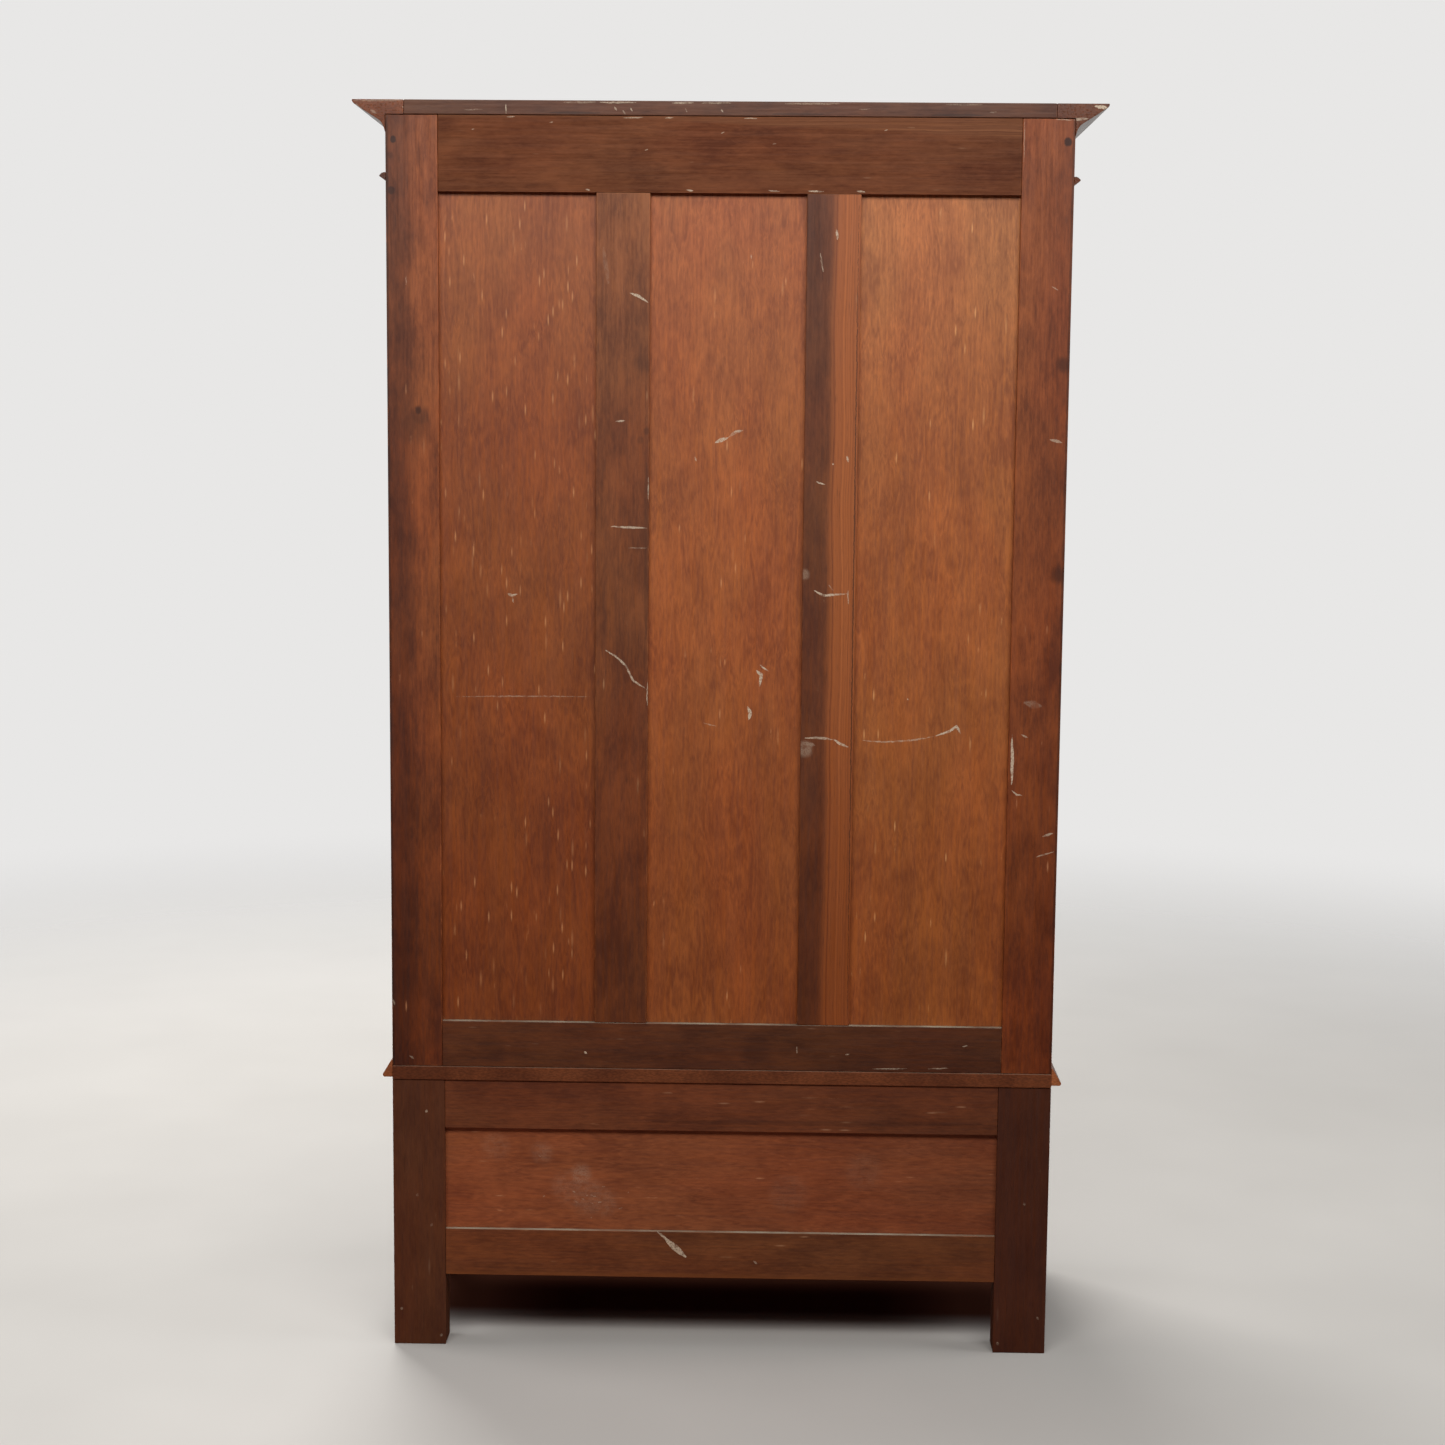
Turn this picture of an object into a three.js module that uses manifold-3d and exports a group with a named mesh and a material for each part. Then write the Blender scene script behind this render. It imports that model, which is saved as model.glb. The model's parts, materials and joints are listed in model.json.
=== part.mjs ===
// A two-door curio cabinet: a glazed display case that stands on a base with one drawer.
// Millimetres, +Z up. The front faces -Y, the back faces +Y, and left is -X as seen from the front.
// The origin is on the floor, under the middle of the whole cabinet.
import * as THREE from "three";
import { mergeVertices } from "three/addons/utils/BufferGeometryUtils.js";
import Module from "manifold-3d";

// Driving dimensions
const HEIGHT = 1800; // floor to the top of the cornice
const CASE_WIDTH = 960; // over the corner posts
const CORNICE_OUT = 46; // overhang of the cornice at the front and the sides
const TOTAL_DEPTH = 446; // front of the cornice to the rear edge of the boards
const BASE_HEIGHT = 402; // floor to the underside of the base top board
const BOARD = 20; // thickness of the base top board and of the top board
const FRAME = 20; // thickness of the rear frames
const REAR_SETBACK = 2; // the frames stand this far inside the rear edge of the boards
const BASE_SETBACK = 1; // the base's rear rails stand this far inside its legs
const REAR_STILE_W = 73;
const REAR_POST_D = 32;
const FRONT_POST = 40; // width and depth
const LEG_W = 76;
const LEG_D = 45;
const FRONT_LEG_W = 60;
const TOP_RAIL_H = 105; // rear top rail, side top rails and frieze rail
const BOTTOM_RAIL_H = 68;
const MUNTIN_IN = 109.5; // centre line to the near edge of a muntin
const MUNTIN_OUT = 185; // centre line to its far edge
const PLY = 5; // plywood back panels
const GLASS = 4;
const GROOVE = 8; // depth of the grooves for panels and glass
const TONGUE = 7; // how far a panel or a pane enters its groove
const SLACK = 0.3; // side clearance of a panel or a pane in its groove
const GAP = 0.2; // glue line between fixed members
const SIDE_RAIL_T = 22;
const SHELF_T = 18;
const SHELF_COUNT = 3;
const FLOOR_T = 16;
const DOOR_T = 22;
const DOOR_STILE = 50;
const DOOR_TOP_RAIL = 50;
const DOOR_BOTTOM_RAIL = 65;
const DOOR_GAP = 2; // all round each door, and between the two
const HINGE_R = 4;
const HINGE_H = 75;
const HINGE_OUT = 4.4; // hinge axis in front of the door face
const RAIL_LOW = 107; // underside of the base rails
const BASE_PANEL_LOW = 177;
const BASE_PANEL_HIGH = 329;
const APRON_HIGH = 150; // top of the front rail under the drawer
const APRON_SETBACK = 2; // the front rail stands this far behind the case front
const END_SETBACK = 4; // the base ends stand this far inside the legs' outer faces
const PANEL_T = 20; // thickness of the base ends
const DRAWER_GAP = 2.5;
const DRAWER_BOX_L = 320;
const DRAWER_BOX_LOW = 160;
const DRAWER_BOX_HIGH = 360;
const DRAWER_WALL = 12; // walls and bottom of the drawer box
const RUNNER = 20; // height of a drawer runner, and how far it reaches in under the drawer box
const RUNNER_DROP = 0.5; // gap between a runner and the drawer box
const DRAWER_KNOB = { radius: 17, length: 30, out: 210 }; // out is the distance from the centre line
const DOOR_KNOB = { radius: 11, length: 24, height: 1010 };
const FIXING_GAP = 0.3; // between a knob, or the drawer box, and the face it is fixed to
const WAIST_RISE = 3; // underside of the waist moulding above that of the base top board
const BEAD_LOW = 1689.2; // underside of the frieze bead
const CORNICE_H = 44;
const FLANGE = 26; // the cornice's flat top reaches this far in over the case
const HINGE_INSET = 120; // from the case floor, and from the frieze, to the middle of a hinge
const HINGE_LEAF = 0.8; // thickness of both leaves together
const SHELF_CLEAR = 2.5; // round each shelf
const SHELF_SETBACK = 5; // shelf front behind the doors' inner faces

// Derived planes
const X_SIDE = CASE_WIDTH / 2;
const Y_BACK = TOTAL_DEPTH / 2; // rear edge of the boards
const Y_REAR = Y_BACK - REAR_SETBACK; // rear face of the frames
const Y_FRONT = -TOTAL_DEPTH / 2 + CORNICE_OUT; // front face of the case
const Z_DECK = BASE_HEIGHT + BOARD; // top of the base top board
const Z_CASE = Z_DECK + GAP; // where the display case starts
const Z_TOP = HEIGHT - BOARD; // underside of the top board
const Z_CASE_TOP = Z_TOP - GAP;
const Z_SIGHT_LOW = Z_DECK + BOTTOM_RAIL_H; // lower edge of the panels
const Z_SIGHT_HIGH = Z_TOP - TOP_RAIL_H; // upper edge of the panels
const X_STILE = X_SIDE - REAR_STILE_W;
const X_POST = X_SIDE - FRONT_POST;
const X_LEG = X_SIDE - LEG_W;
const X_FRONT_LEG = X_SIDE - FRONT_LEG_W;
const Y_POST = Y_FRONT + FRONT_POST; // rear face of the front posts
const Y_REAR_POST = Y_REAR - REAR_POST_D; // front face of the rear stiles
const Y_FRAME = Y_REAR - FRAME; // front face of the rear rails
const Y_PLY = Y_REAR - 14; // front face of the plywood
const X_GLASS = X_SIDE - 13; // inner face of the side glass
const Z_FLOOR = Z_CASE + FLOOR_T;
const Y_DOOR = Y_FRONT + DOOR_T; // inner face of the doors
const Y_DOOR_GLASS = Y_FRONT + 9; // front face of the door glass
const Y_APRON = Y_FRONT + APRON_SETBACK + DOOR_T; // rear face of the front rail
const DRAWER_HALF = X_LEG - 4; // half the width of the drawer box

const library = await Module();
library.setup();

const cabinet = new THREE.Group();
const base = new THREE.Group();
const displayCase = new THREE.Group();
const drawer = new THREE.Group();
const doors = { left: new THREE.Group(), right: new THREE.Group() };
cabinet.add(base, displayCase, drawer, doors.left, doors.right);

const finish = {
  polished: new THREE.MeshStandardMaterial({ color: 0x4f2417, roughness: 0.38, metalness: 0 }),
  stained: new THREE.MeshStandardMaterial({ color: 0x57291a, roughness: 0.6, metalness: 0 }),
  plywood: new THREE.MeshStandardMaterial({ color: 0x8a4526, roughness: 0.62, metalness: 0 }),
  bare: new THREE.MeshStandardMaterial({ color: 0xa9805a, roughness: 0.75, metalness: 0 }),
  glass: new THREE.MeshStandardMaterial({
    color: 0xdfe8e4,
    roughness: 0.05,
    metalness: 0,
    transparent: true,
    opacity: 0.25,
  }),
  brass: new THREE.MeshStandardMaterial({ color: 0xa8823c, roughness: 0.35, metalness: 1 }),
};

function addMesh(group, name, geometry, material) {
  const mesh = new THREE.Mesh(geometry, material);
  mesh.name = name;
  group.add(mesh);
  return mesh;
}

// An outline from a list of corners.
function outline(corners) {
  return new THREE.Shape(corners.map(([u, v]) => new THREE.Vector2(u, v)));
}

function extrude(corners, depth) {
  return new THREE.ExtrudeGeometry(outline(corners), { depth, bevelEnabled: false });
}

// A member that runs up Z, from its (x, y) section.
function upright(section, low, high) {
  return extrude(section, high - low).translate(0, 0, low);
}

// A member that runs along X, from its (y, z) section.
function acrossX(section, from, to) {
  const turn = new THREE.Matrix4().makeBasis(
    new THREE.Vector3(0, 1, 0),
    new THREE.Vector3(0, 0, 1),
    new THREE.Vector3(1, 0, 0),
  );
  return extrude(section, to - from).applyMatrix4(turn).translate(from, 0, 0);
}

// A member that runs along Y, from its (x, z) section.
function acrossY(section, from, to) {
  const turn = new THREE.Matrix4().makeBasis(
    new THREE.Vector3(1, 0, 0),
    new THREE.Vector3(0, 0, 1),
    new THREE.Vector3(0, -1, 0),
  );
  return extrude(section, to - from).applyMatrix4(turn).translate(0, to, 0);
}

// A rectangular block between two corners.
function block([x0, x1], [y0, y1], [z0, z1]) {
  return new THREE.BoxGeometry(x1 - x0, y1 - y0, z1 - z0).translate(
    (x0 + x1) / 2,
    (y0 + y1) / 2,
    (z0 + z1) / 2,
  );
}

// The corners of a rectangle [u0, u1] x [v0, v1] with grooves cut into its edges.
// Each groove is [edge, from, to]. The edge is "low" or "high" (a v edge), or "near" or "far" (a u edge).
function grooved([u0, u1], [v0, v1], grooves) {
  const cut = Object.fromEntries(grooves.map(([edge, from, to]) => [edge, [from, to]]));
  const corners = [[u0, v0]];
  if (cut.low) {
    const [a, b] = cut.low;
    corners.push([a, v0], [a, v0 + GROOVE], [b, v0 + GROOVE], [b, v0]);
  }
  corners.push([u1, v0]);
  if (cut.far) {
    const [a, b] = cut.far;
    corners.push([u1, a], [u1 - GROOVE, a], [u1 - GROOVE, b], [u1, b]);
  }
  corners.push([u1, v1]);
  if (cut.high) {
    const [a, b] = cut.high;
    corners.push([b, v1], [b, v1 - GROOVE], [a, v1 - GROOVE], [a, v1]);
  }
  corners.push([u0, v1]);
  if (cut.near) {
    const [a, b] = cut.near;
    corners.push([u0, b], [u0 + GROOVE, b], [u0 + GROOVE, a], [u0, a]);
  }
  return corners;
}

// The same section on the other side of the centre plane.
function mirrored(section) {
  return section.map(([u, v]) => [-u, v]).reverse();
}

function sided(section, side) {
  return side === "right" ? section : mirrored(section);
}

// A moulding with mitred corners. The profile is (distance out from the case, height), and each
// station is [x, y, outX, outY]: the point on the case and the way its mitre runs.
function moulding(profile, stations) {
  const steps = stations.length - 1;
  const strip = new THREE.ExtrudeGeometry(outline(profile), {
    depth: steps,
    steps,
    bevelEnabled: false,
  });
  const position = strip.getAttribute("position");
  for (let i = 0; i < position.count; i++) {
    const out = position.getX(i);
    const height = position.getY(i);
    const [x, y, outX, outY] = stations[Math.round(position.getZ(i))];
    position.setXYZ(i, x + out * outX, y + out * outY, height);
  }
  return strip;
}

// The four stations of a moulding that goes round the two sides and the front.
function stationsRound(rearY) {
  return [
    [X_SIDE, rearY, 1, 0],
    [X_SIDE, Y_FRONT, 1, -1],
    [-X_SIDE, Y_FRONT, -1, -1],
    [-X_SIDE, rearY, -1, 0],
  ];
}

function toSolid(geometry) {
  const shape = geometry.clone();
  shape.deleteAttribute("normal");
  shape.deleteAttribute("uv");
  const merged = mergeVertices(shape, 1e-4);
  return new library.Manifold(
    new library.Mesh({
      numProp: 3,
      vertProperties: new Float32Array(merged.attributes.position.array),
      triVerts: new Uint32Array(merged.index.array),
    }),
  );
}

function toGeometry(solid) {
  const mesh = solid.getMesh();
  const geometry = new THREE.BufferGeometry();
  geometry.setAttribute("position", new THREE.BufferAttribute(new Float32Array(mesh.vertProperties), 3));
  geometry.setIndex(new THREE.BufferAttribute(new Uint32Array(mesh.triVerts), 1));
  geometry.computeVertexNormals();
  return geometry;
}

const panelSlot = [Y_PLY - SLACK, Y_PLY + PLY + SLACK];
const glassSlot = [X_GLASS - SLACK, X_GLASS + GLASS + SLACK];
const doorSlot = [Y_DOOR_GLASS - SLACK, Y_DOOR_GLASS + GLASS + SLACK];
const sides = ["left", "right"];

function spanFor(side, near, far) {
  return side === "right" ? [near, far] : [-far, -near];
}

function buildBase() {
  for (const side of sides) {
    const rearLeg = grooved([X_LEG, X_SIDE], [Y_REAR - LEG_D, Y_REAR], [["near", ...panelSlot]]);
    const leg = upright(sided(rearLeg, side), 0, BASE_HEIGHT - GAP);
    addMesh(base, `leg_rear_${side}`, leg, finish.stained);
    const frontLeg = block(
      spanFor(side, X_FRONT_LEG, X_SIDE),
      [Y_FRONT, Y_FRONT + LEG_D],
      [0, BASE_HEIGHT - GAP],
    );
    addMesh(base, `leg_front_${side}`, frontLeg, finish.polished);
    const end = block(
      spanFor(side, X_SIDE - END_SETBACK - PANEL_T, X_SIDE - END_SETBACK),
      [Y_FRONT + LEG_D + GAP, Y_REAR - LEG_D - GAP],
      [RAIL_LOW, BASE_HEIGHT - GAP],
    );
    addMesh(base, `base_end_${side}`, end, finish.polished);
    const runner = block(
      spanFor(side, DRAWER_HALF - RUNNER, X_LEG - RUNNER_DROP),
      [Y_APRON + GAP, Y_FRAME - BASE_SETBACK - GAP],
      [DRAWER_BOX_LOW - RUNNER_DROP - RUNNER, DRAWER_BOX_LOW - RUNNER_DROP],
    );
    addMesh(base, `drawer_runner_${side}`, runner, finish.bare);
  }
  const railY = [Y_FRAME - BASE_SETBACK, Y_REAR - BASE_SETBACK];
  const reach = X_LEG - GAP;
  const topRail = grooved(railY, [BASE_PANEL_HIGH, BASE_HEIGHT - GAP], [["low", ...panelSlot]]);
  addMesh(base, "base_rear_top_rail", acrossX(topRail, -reach, reach), finish.stained);
  const bottomRail = grooved(railY, [RAIL_LOW, BASE_PANEL_LOW], [["high", ...panelSlot]]);
  addMesh(base, "base_rear_bottom_rail", acrossX(bottomRail, -reach, reach), finish.stained);
  const panel = block(
    [-X_LEG - TONGUE, X_LEG + TONGUE],
    [Y_PLY, Y_PLY + PLY],
    [BASE_PANEL_LOW - TONGUE, BASE_PANEL_HIGH + TONGUE],
  );
  addMesh(base, "base_rear_panel", panel, finish.plywood);
  const frontReach = X_FRONT_LEG - GAP;
  const apron = block(
    [-frontReach, frontReach],
    [Y_FRONT + APRON_SETBACK, Y_APRON],
    [RAIL_LOW, APRON_HIGH],
  );
  addMesh(base, "base_front_rail", apron, finish.polished);
  const deck = block([-X_SIDE, X_SIDE], [Y_FRONT, Y_BACK], [BASE_HEIGHT, Z_DECK]);
  addMesh(base, "base_top_board", deck, finish.polished);
  addMesh(base, "waist_moulding", moulding(waistProfile(), stationsRound(Y_REAR)), finish.polished);
}

// A rounded lip at the bottom, and a bevel that leans back to the case above it.
function waistProfile() {
  const low = BASE_HEIGHT + WAIST_RISE;
  const nose = new THREE.EllipseCurve(11.5, low + 3.2, 3, 3.2, -Math.PI / 2, Math.PI / 3);
  const corners = [[GAP, low]];
  for (const p of nose.getPoints(6)) corners.push([p.x, p.y]);
  corners.push([1.8, low + 25], [GAP, low + 25.5]);
  return corners;
}

// A bevel below and a rounded shoulder above, meeting in a thin nose.
function beadProfile() {
  const low = BEAD_LOW;
  return [
    [GAP, low],
    [8.4, low + 5.8],
    [8.9, low + 6.8],
    [8.4, low + 7.8],
    [5.4, low + 10.6],
    [2.6, low + 11.6],
    [GAP, low + 11.6],
  ];
}

// A hollow at the bottom, a long splay, a thin fillet on top and a flange over the case.
function corniceProfile() {
  const low = HEIGHT - CORNICE_H;
  const hollow = new THREE.QuadraticBezierCurve(
    new THREE.Vector2(GAP, low),
    new THREE.Vector2(2.4, low + 12),
    new THREE.Vector2(8.5, low + 16),
  );
  const corners = hollow.getPoints(6).map((p) => [p.x, p.y]);
  corners.push([CORNICE_OUT - 2.4, HEIGHT - 5.6], [CORNICE_OUT - 0.5, HEIGHT - 3.2]);
  corners.push([CORNICE_OUT, HEIGHT - 0.8], [CORNICE_OUT - 0.8, HEIGHT]);
  corners.push([-FLANGE, HEIGHT], [-FLANGE, Z_TOP + GAP], [GAP, Z_TOP + GAP]);
  return corners;
}

function buildBack() {
  for (const side of sides) {
    const stile = grooved(
      [X_STILE, X_SIDE],
      [Y_REAR_POST, Y_REAR],
      [
        ["near", ...panelSlot],
        ["low", ...glassSlot],
      ],
    );
    const member = upright(sided(stile, side), Z_CASE, Z_CASE_TOP);
    addMesh(displayCase, `rear_stile_${side}`, member, finish.stained);
    const muntin = grooved(
      [MUNTIN_IN, MUNTIN_OUT],
      [Y_FRAME, Y_REAR],
      [
        ["near", ...panelSlot],
        ["far", ...panelSlot],
      ],
    );
    addMesh(
      displayCase,
      `rear_muntin_${side}`,
      upright(sided(muntin, side), Z_SIGHT_LOW + GAP, Z_SIGHT_HIGH - GAP),
      finish.stained,
    );
  }
  const reach = X_STILE - GAP;
  const topRail = grooved([Y_FRAME, Y_REAR], [Z_SIGHT_HIGH, Z_CASE_TOP], [["low", ...panelSlot]]);
  addMesh(displayCase, "rear_top_rail", acrossX(topRail, -reach, reach), finish.stained);
  const bottomRail = grooved([Y_FRAME, Y_REAR], [Z_CASE, Z_SIGHT_LOW], [["high", ...panelSlot]]);
  addMesh(displayCase, "rear_bottom_rail", acrossX(bottomRail, -reach, reach), finish.stained);
  const spans = {
    left: [-X_STILE - TONGUE, -MUNTIN_OUT + TONGUE],
    centre: [-MUNTIN_IN - TONGUE, MUNTIN_IN + TONGUE],
    right: [MUNTIN_OUT - TONGUE, X_STILE + TONGUE],
  };
  for (const [place, span] of Object.entries(spans)) {
    const panel = block(span, [Y_PLY, Y_PLY + PLY], [Z_SIGHT_LOW - TONGUE, Z_SIGHT_HIGH + TONGUE]);
    addMesh(displayCase, `rear_panel_${place}`, panel, finish.plywood);
  }
}

function buildCase() {
  for (const side of sides) {
    const post = grooved([X_POST, X_SIDE], [Y_FRONT, Y_POST], [["high", ...glassSlot]]);
    const member = upright(sided(post, side), Z_CASE, Z_CASE_TOP);
    addMesh(displayCase, `front_post_${side}`, member, finish.polished);
    const railX = [X_SIDE - SIDE_RAIL_T, X_SIDE];
    const railSpan = [Y_POST + GAP, Y_REAR_POST - GAP];
    const topRail = grooved(railX, [Z_SIGHT_HIGH, Z_CASE_TOP], [["low", ...glassSlot]]);
    addMesh(
      displayCase,
      `side_top_rail_${side}`,
      acrossY(sided(topRail, side), ...railSpan),
      finish.polished,
    );
    const bottomRail = grooved(railX, [Z_CASE, Z_SIGHT_LOW], [["high", ...glassSlot]]);
    addMesh(
      displayCase,
      `side_bottom_rail_${side}`,
      acrossY(sided(bottomRail, side), ...railSpan),
      finish.polished,
    );
    const pane = block(
      spanFor(side, X_GLASS, X_GLASS + GLASS),
      [Y_POST - TONGUE, Y_REAR_POST + TONGUE],
      [Z_SIGHT_LOW - TONGUE, Z_SIGHT_HIGH + TONGUE],
    );
    addMesh(displayCase, `side_glass_${side}`, pane, finish.glass);
  }
  const reach = X_POST - GAP;
  const frieze = block([-reach, reach], [Y_FRONT, Y_DOOR], [Z_SIGHT_HIGH, Z_CASE_TOP]);
  addMesh(displayCase, "frieze_rail", frieze, finish.polished);
  addMesh(displayCase, "frieze_bead", moulding(beadProfile(), stationsRound(Y_REAR)), finish.polished);
  addMesh(displayCase, "case_floor", upright(floorOutline(), Z_CASE, Z_FLOOR), finish.polished);
  const flange = FLANGE + GAP;
  const top = block(
    [-X_SIDE + flange, X_SIDE - flange],
    [Y_FRONT + flange, Y_BACK],
    [Z_TOP + GAP, HEIGHT],
  );
  addMesh(displayCase, "top_board", top, finish.stained);
  buildCornice();
  buildShelves();
}

// The floor fills the case between the posts, the side rails and the rear rail.
function floorOutline() {
  const right = [
    [X_POST - GAP, Y_FRONT],
    [X_POST - GAP, Y_POST + GAP],
    [X_SIDE - SIDE_RAIL_T - GAP, Y_POST + GAP],
    [X_SIDE - SIDE_RAIL_T - GAP, Y_REAR_POST - GAP],
    [X_STILE - GAP, Y_REAR_POST - GAP],
    [X_STILE - GAP, Y_FRAME - GAP],
  ];
  return [...right, ...mirrored(right)];
}

function buildCornice() {
  const profile = corniceProfile();
  const [rearRight, frontRight, frontLeft, rearLeft] = stationsRound(Y_BACK);
  const closer = ([x, y, outX, outY]) => [x - Math.sign(x) * FIXING_GAP, y, outX, outY];
  const strips = {
    right: [rearRight, frontRight],
    front: [closer(frontRight), closer(frontLeft)],
    left: [frontLeft, rearLeft],
  };
  for (const [place, stations] of Object.entries(strips)) {
    addMesh(displayCase, `cornice_${place}`, moulding(profile, stations), finish.polished);
  }
}

// Shelves stand clear of the posts, and are notched round the wide rear stiles.
function buildShelves() {
  const clear = SHELF_CLEAR;
  const right = [
    [X_POST - clear, Y_DOOR + SHELF_SETBACK],
    [X_POST - clear, Y_REAR_POST - clear],
    [X_STILE - clear, Y_REAR_POST - clear],
    [X_STILE - clear, Y_FRAME - clear],
  ];
  const shelf = [...right, ...mirrored(right)];
  const pitch = (Z_SIGHT_HIGH - Z_FLOOR + SHELF_T) / (SHELF_COUNT + 1);
  const names = ["shelf_lower", "shelf_middle", "shelf_upper"];
  names.forEach((name, index) => {
    const top = Z_FLOOR + pitch * (index + 1);
    addMesh(displayCase, name, upright(shelf, top - SHELF_T, top), finish.polished);
  });
}

// Four butt hinges: the knuckle stands in front of the joint, and its leaf lies in the gap.
function buildHinges() {
  const reach = X_POST - DOOR_GAP / 2;
  const axisY = Y_FRONT - HINGE_OUT;
  const places = { lower: Z_FLOOR + HINGE_INSET, upper: Z_SIGHT_HIGH - HINGE_INSET };
  for (const side of sides) {
    const axisX = side === "right" ? reach : -reach;
    for (const [place, middle] of Object.entries(places)) {
      const knuckle = new THREE.CylinderGeometry(HINGE_R, HINGE_R, HINGE_H, 20);
      knuckle.rotateX(Math.PI / 2).translate(axisX, axisY, middle);
      const leaf = block(
        [axisX - HINGE_LEAF / 2, axisX + HINGE_LEAF / 2],
        [axisY, Y_DOOR - 1],
        [middle - HINGE_H / 2 + 0.5, middle + HINGE_H / 2 - 0.5],
      );
      const hinge = toGeometry(toSolid(knuckle).add(toSolid(leaf)));
      addMesh(displayCase, `hinge_${side}_${place}`, hinge, finish.brass);
    }
  }
}

function buildDoor(side) {
  const group = doors[side];
  const near = DOOR_GAP / 2;
  const far = X_POST - DOOR_GAP;
  const low = Z_FLOOR + DOOR_GAP + FIXING_GAP;
  const high = Z_SIGHT_HIGH - DOOR_GAP;
  const thick = [Y_FRONT, Y_DOOR];
  const meeting = grooved([near, near + DOOR_STILE], thick, [["far", ...doorSlot]]);
  addMesh(group, `door_${side}_meeting_stile`, upright(sided(meeting, side), low, high), finish.polished);
  const hanging = grooved([far - DOOR_STILE, far], thick, [["near", ...doorSlot]]);
  addMesh(group, `door_${side}_hinge_stile`, upright(sided(hanging, side), low, high), finish.polished);
  const railSpan = spanFor(side, near + DOOR_STILE + GAP, far - DOOR_STILE - GAP);
  const topRail = grooved(thick, [high - DOOR_TOP_RAIL, high], [["low", ...doorSlot]]);
  addMesh(group, `door_${side}_top_rail`, acrossX(topRail, ...railSpan), finish.polished);
  const bottomRail = grooved(thick, [low, low + DOOR_BOTTOM_RAIL], [["high", ...doorSlot]]);
  addMesh(group, `door_${side}_bottom_rail`, acrossX(bottomRail, ...railSpan), finish.polished);
  const pane = block(
    spanFor(side, near + DOOR_STILE - TONGUE, far - DOOR_STILE + TONGUE),
    [Y_DOOR_GLASS, Y_DOOR_GLASS + GLASS],
    [low + DOOR_BOTTOM_RAIL - TONGUE, high - DOOR_TOP_RAIL + TONGUE],
  );
  addMesh(group, `door_${side}_glass`, pane, finish.glass);
}

// A turned knob on the Y axis, pointing forwards: a rose, a neck and a flattened ball.
function knob(radius, length) {
  const rose = radius * 0.8;
  const neck = radius * 0.42;
  const ball = new THREE.EllipseCurve(0, length - radius * 0.78, radius, radius * 0.78, -1.05, Math.PI / 2);
  const points = [
    [0, 0],
    [rose, 0],
    [rose, 1.6],
    [neck, 4],
  ];
  for (const p of ball.getPoints(9)) points.push([Math.max(p.x, 0), p.y]);
  points[points.length - 1][0] = 0;
  const profile = points.map(([r, y]) => new THREE.Vector2(r, y));
  return new THREE.LatheGeometry(profile, 28).rotateX(Math.PI);
}

function buildDrawer() {
  const reach = X_FRONT_LEG - DRAWER_GAP;
  const low = APRON_HIGH + DRAWER_GAP;
  const front = block([-reach, reach], [Y_FRONT, Y_DOOR], [low, BASE_HEIGHT - DRAWER_GAP]);
  addMesh(drawer, "drawer_front", front, finish.polished);
  const half = DRAWER_HALF;
  const start = Y_DOOR + FIXING_GAP;
  const shell = block(
    [-half, half],
    [start, start + DRAWER_BOX_L],
    [DRAWER_BOX_LOW, DRAWER_BOX_HIGH],
  );
  const inside = block(
    [-half + DRAWER_WALL, half - DRAWER_WALL],
    [start + DRAWER_WALL, start + DRAWER_BOX_L - DRAWER_WALL],
    [DRAWER_BOX_LOW + DRAWER_WALL, DRAWER_BOX_HIGH + DRAWER_WALL],
  );
  addMesh(drawer, "drawer_box", toGeometry(toSolid(shell).subtract(toSolid(inside))), finish.bare);
  for (const side of sides) {
    const { radius, length, out } = DRAWER_KNOB;
    const pull = addMesh(drawer, `drawer_knob_${side}`, knob(radius, length), finish.brass);
    const middle = (low + BASE_HEIGHT) / 2;
    pull.position.set(side === "right" ? out : -out, Y_FRONT - FIXING_GAP, middle);
  }
}

buildBase();
buildBack();
buildCase();
buildHinges();
for (const side of sides) buildDoor(side);
const doorKnobShape = knob(DOOR_KNOB.radius, DOOR_KNOB.length);
const doorKnob = addMesh(doors.right, "door_knob", doorKnobShape, finish.brass);
doorKnob.position.set((DOOR_GAP + DOOR_STILE) / 2, Y_FRONT - FIXING_GAP, DOOR_KNOB.height);
buildDrawer();

export default cabinet;
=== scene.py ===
"""Looks of a curio cabinet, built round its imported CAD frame.

Metres, in the frame's own axes: the doors face -Y and the framed back faces +Y. The camera stands
behind the cabinet, as the reference view does, so the +X side is on the left of the picture.
"""
import json
import math
import random

import bpy
import bmesh
from mathutils import Euler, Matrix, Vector


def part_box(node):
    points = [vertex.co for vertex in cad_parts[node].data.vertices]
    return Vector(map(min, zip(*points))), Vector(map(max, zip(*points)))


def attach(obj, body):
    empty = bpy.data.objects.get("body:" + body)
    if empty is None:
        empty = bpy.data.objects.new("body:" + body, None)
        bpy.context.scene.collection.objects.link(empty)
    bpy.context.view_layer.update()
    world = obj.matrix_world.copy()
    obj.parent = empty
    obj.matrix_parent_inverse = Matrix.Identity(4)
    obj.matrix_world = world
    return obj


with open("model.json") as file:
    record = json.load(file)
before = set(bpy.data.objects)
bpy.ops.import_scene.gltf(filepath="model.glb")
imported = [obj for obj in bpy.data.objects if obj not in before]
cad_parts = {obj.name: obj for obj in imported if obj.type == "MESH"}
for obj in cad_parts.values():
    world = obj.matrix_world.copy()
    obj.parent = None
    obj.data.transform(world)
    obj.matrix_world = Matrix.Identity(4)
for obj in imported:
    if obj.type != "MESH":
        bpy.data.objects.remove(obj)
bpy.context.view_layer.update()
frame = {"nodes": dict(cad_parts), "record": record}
nodes = frame["nodes"]
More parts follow.
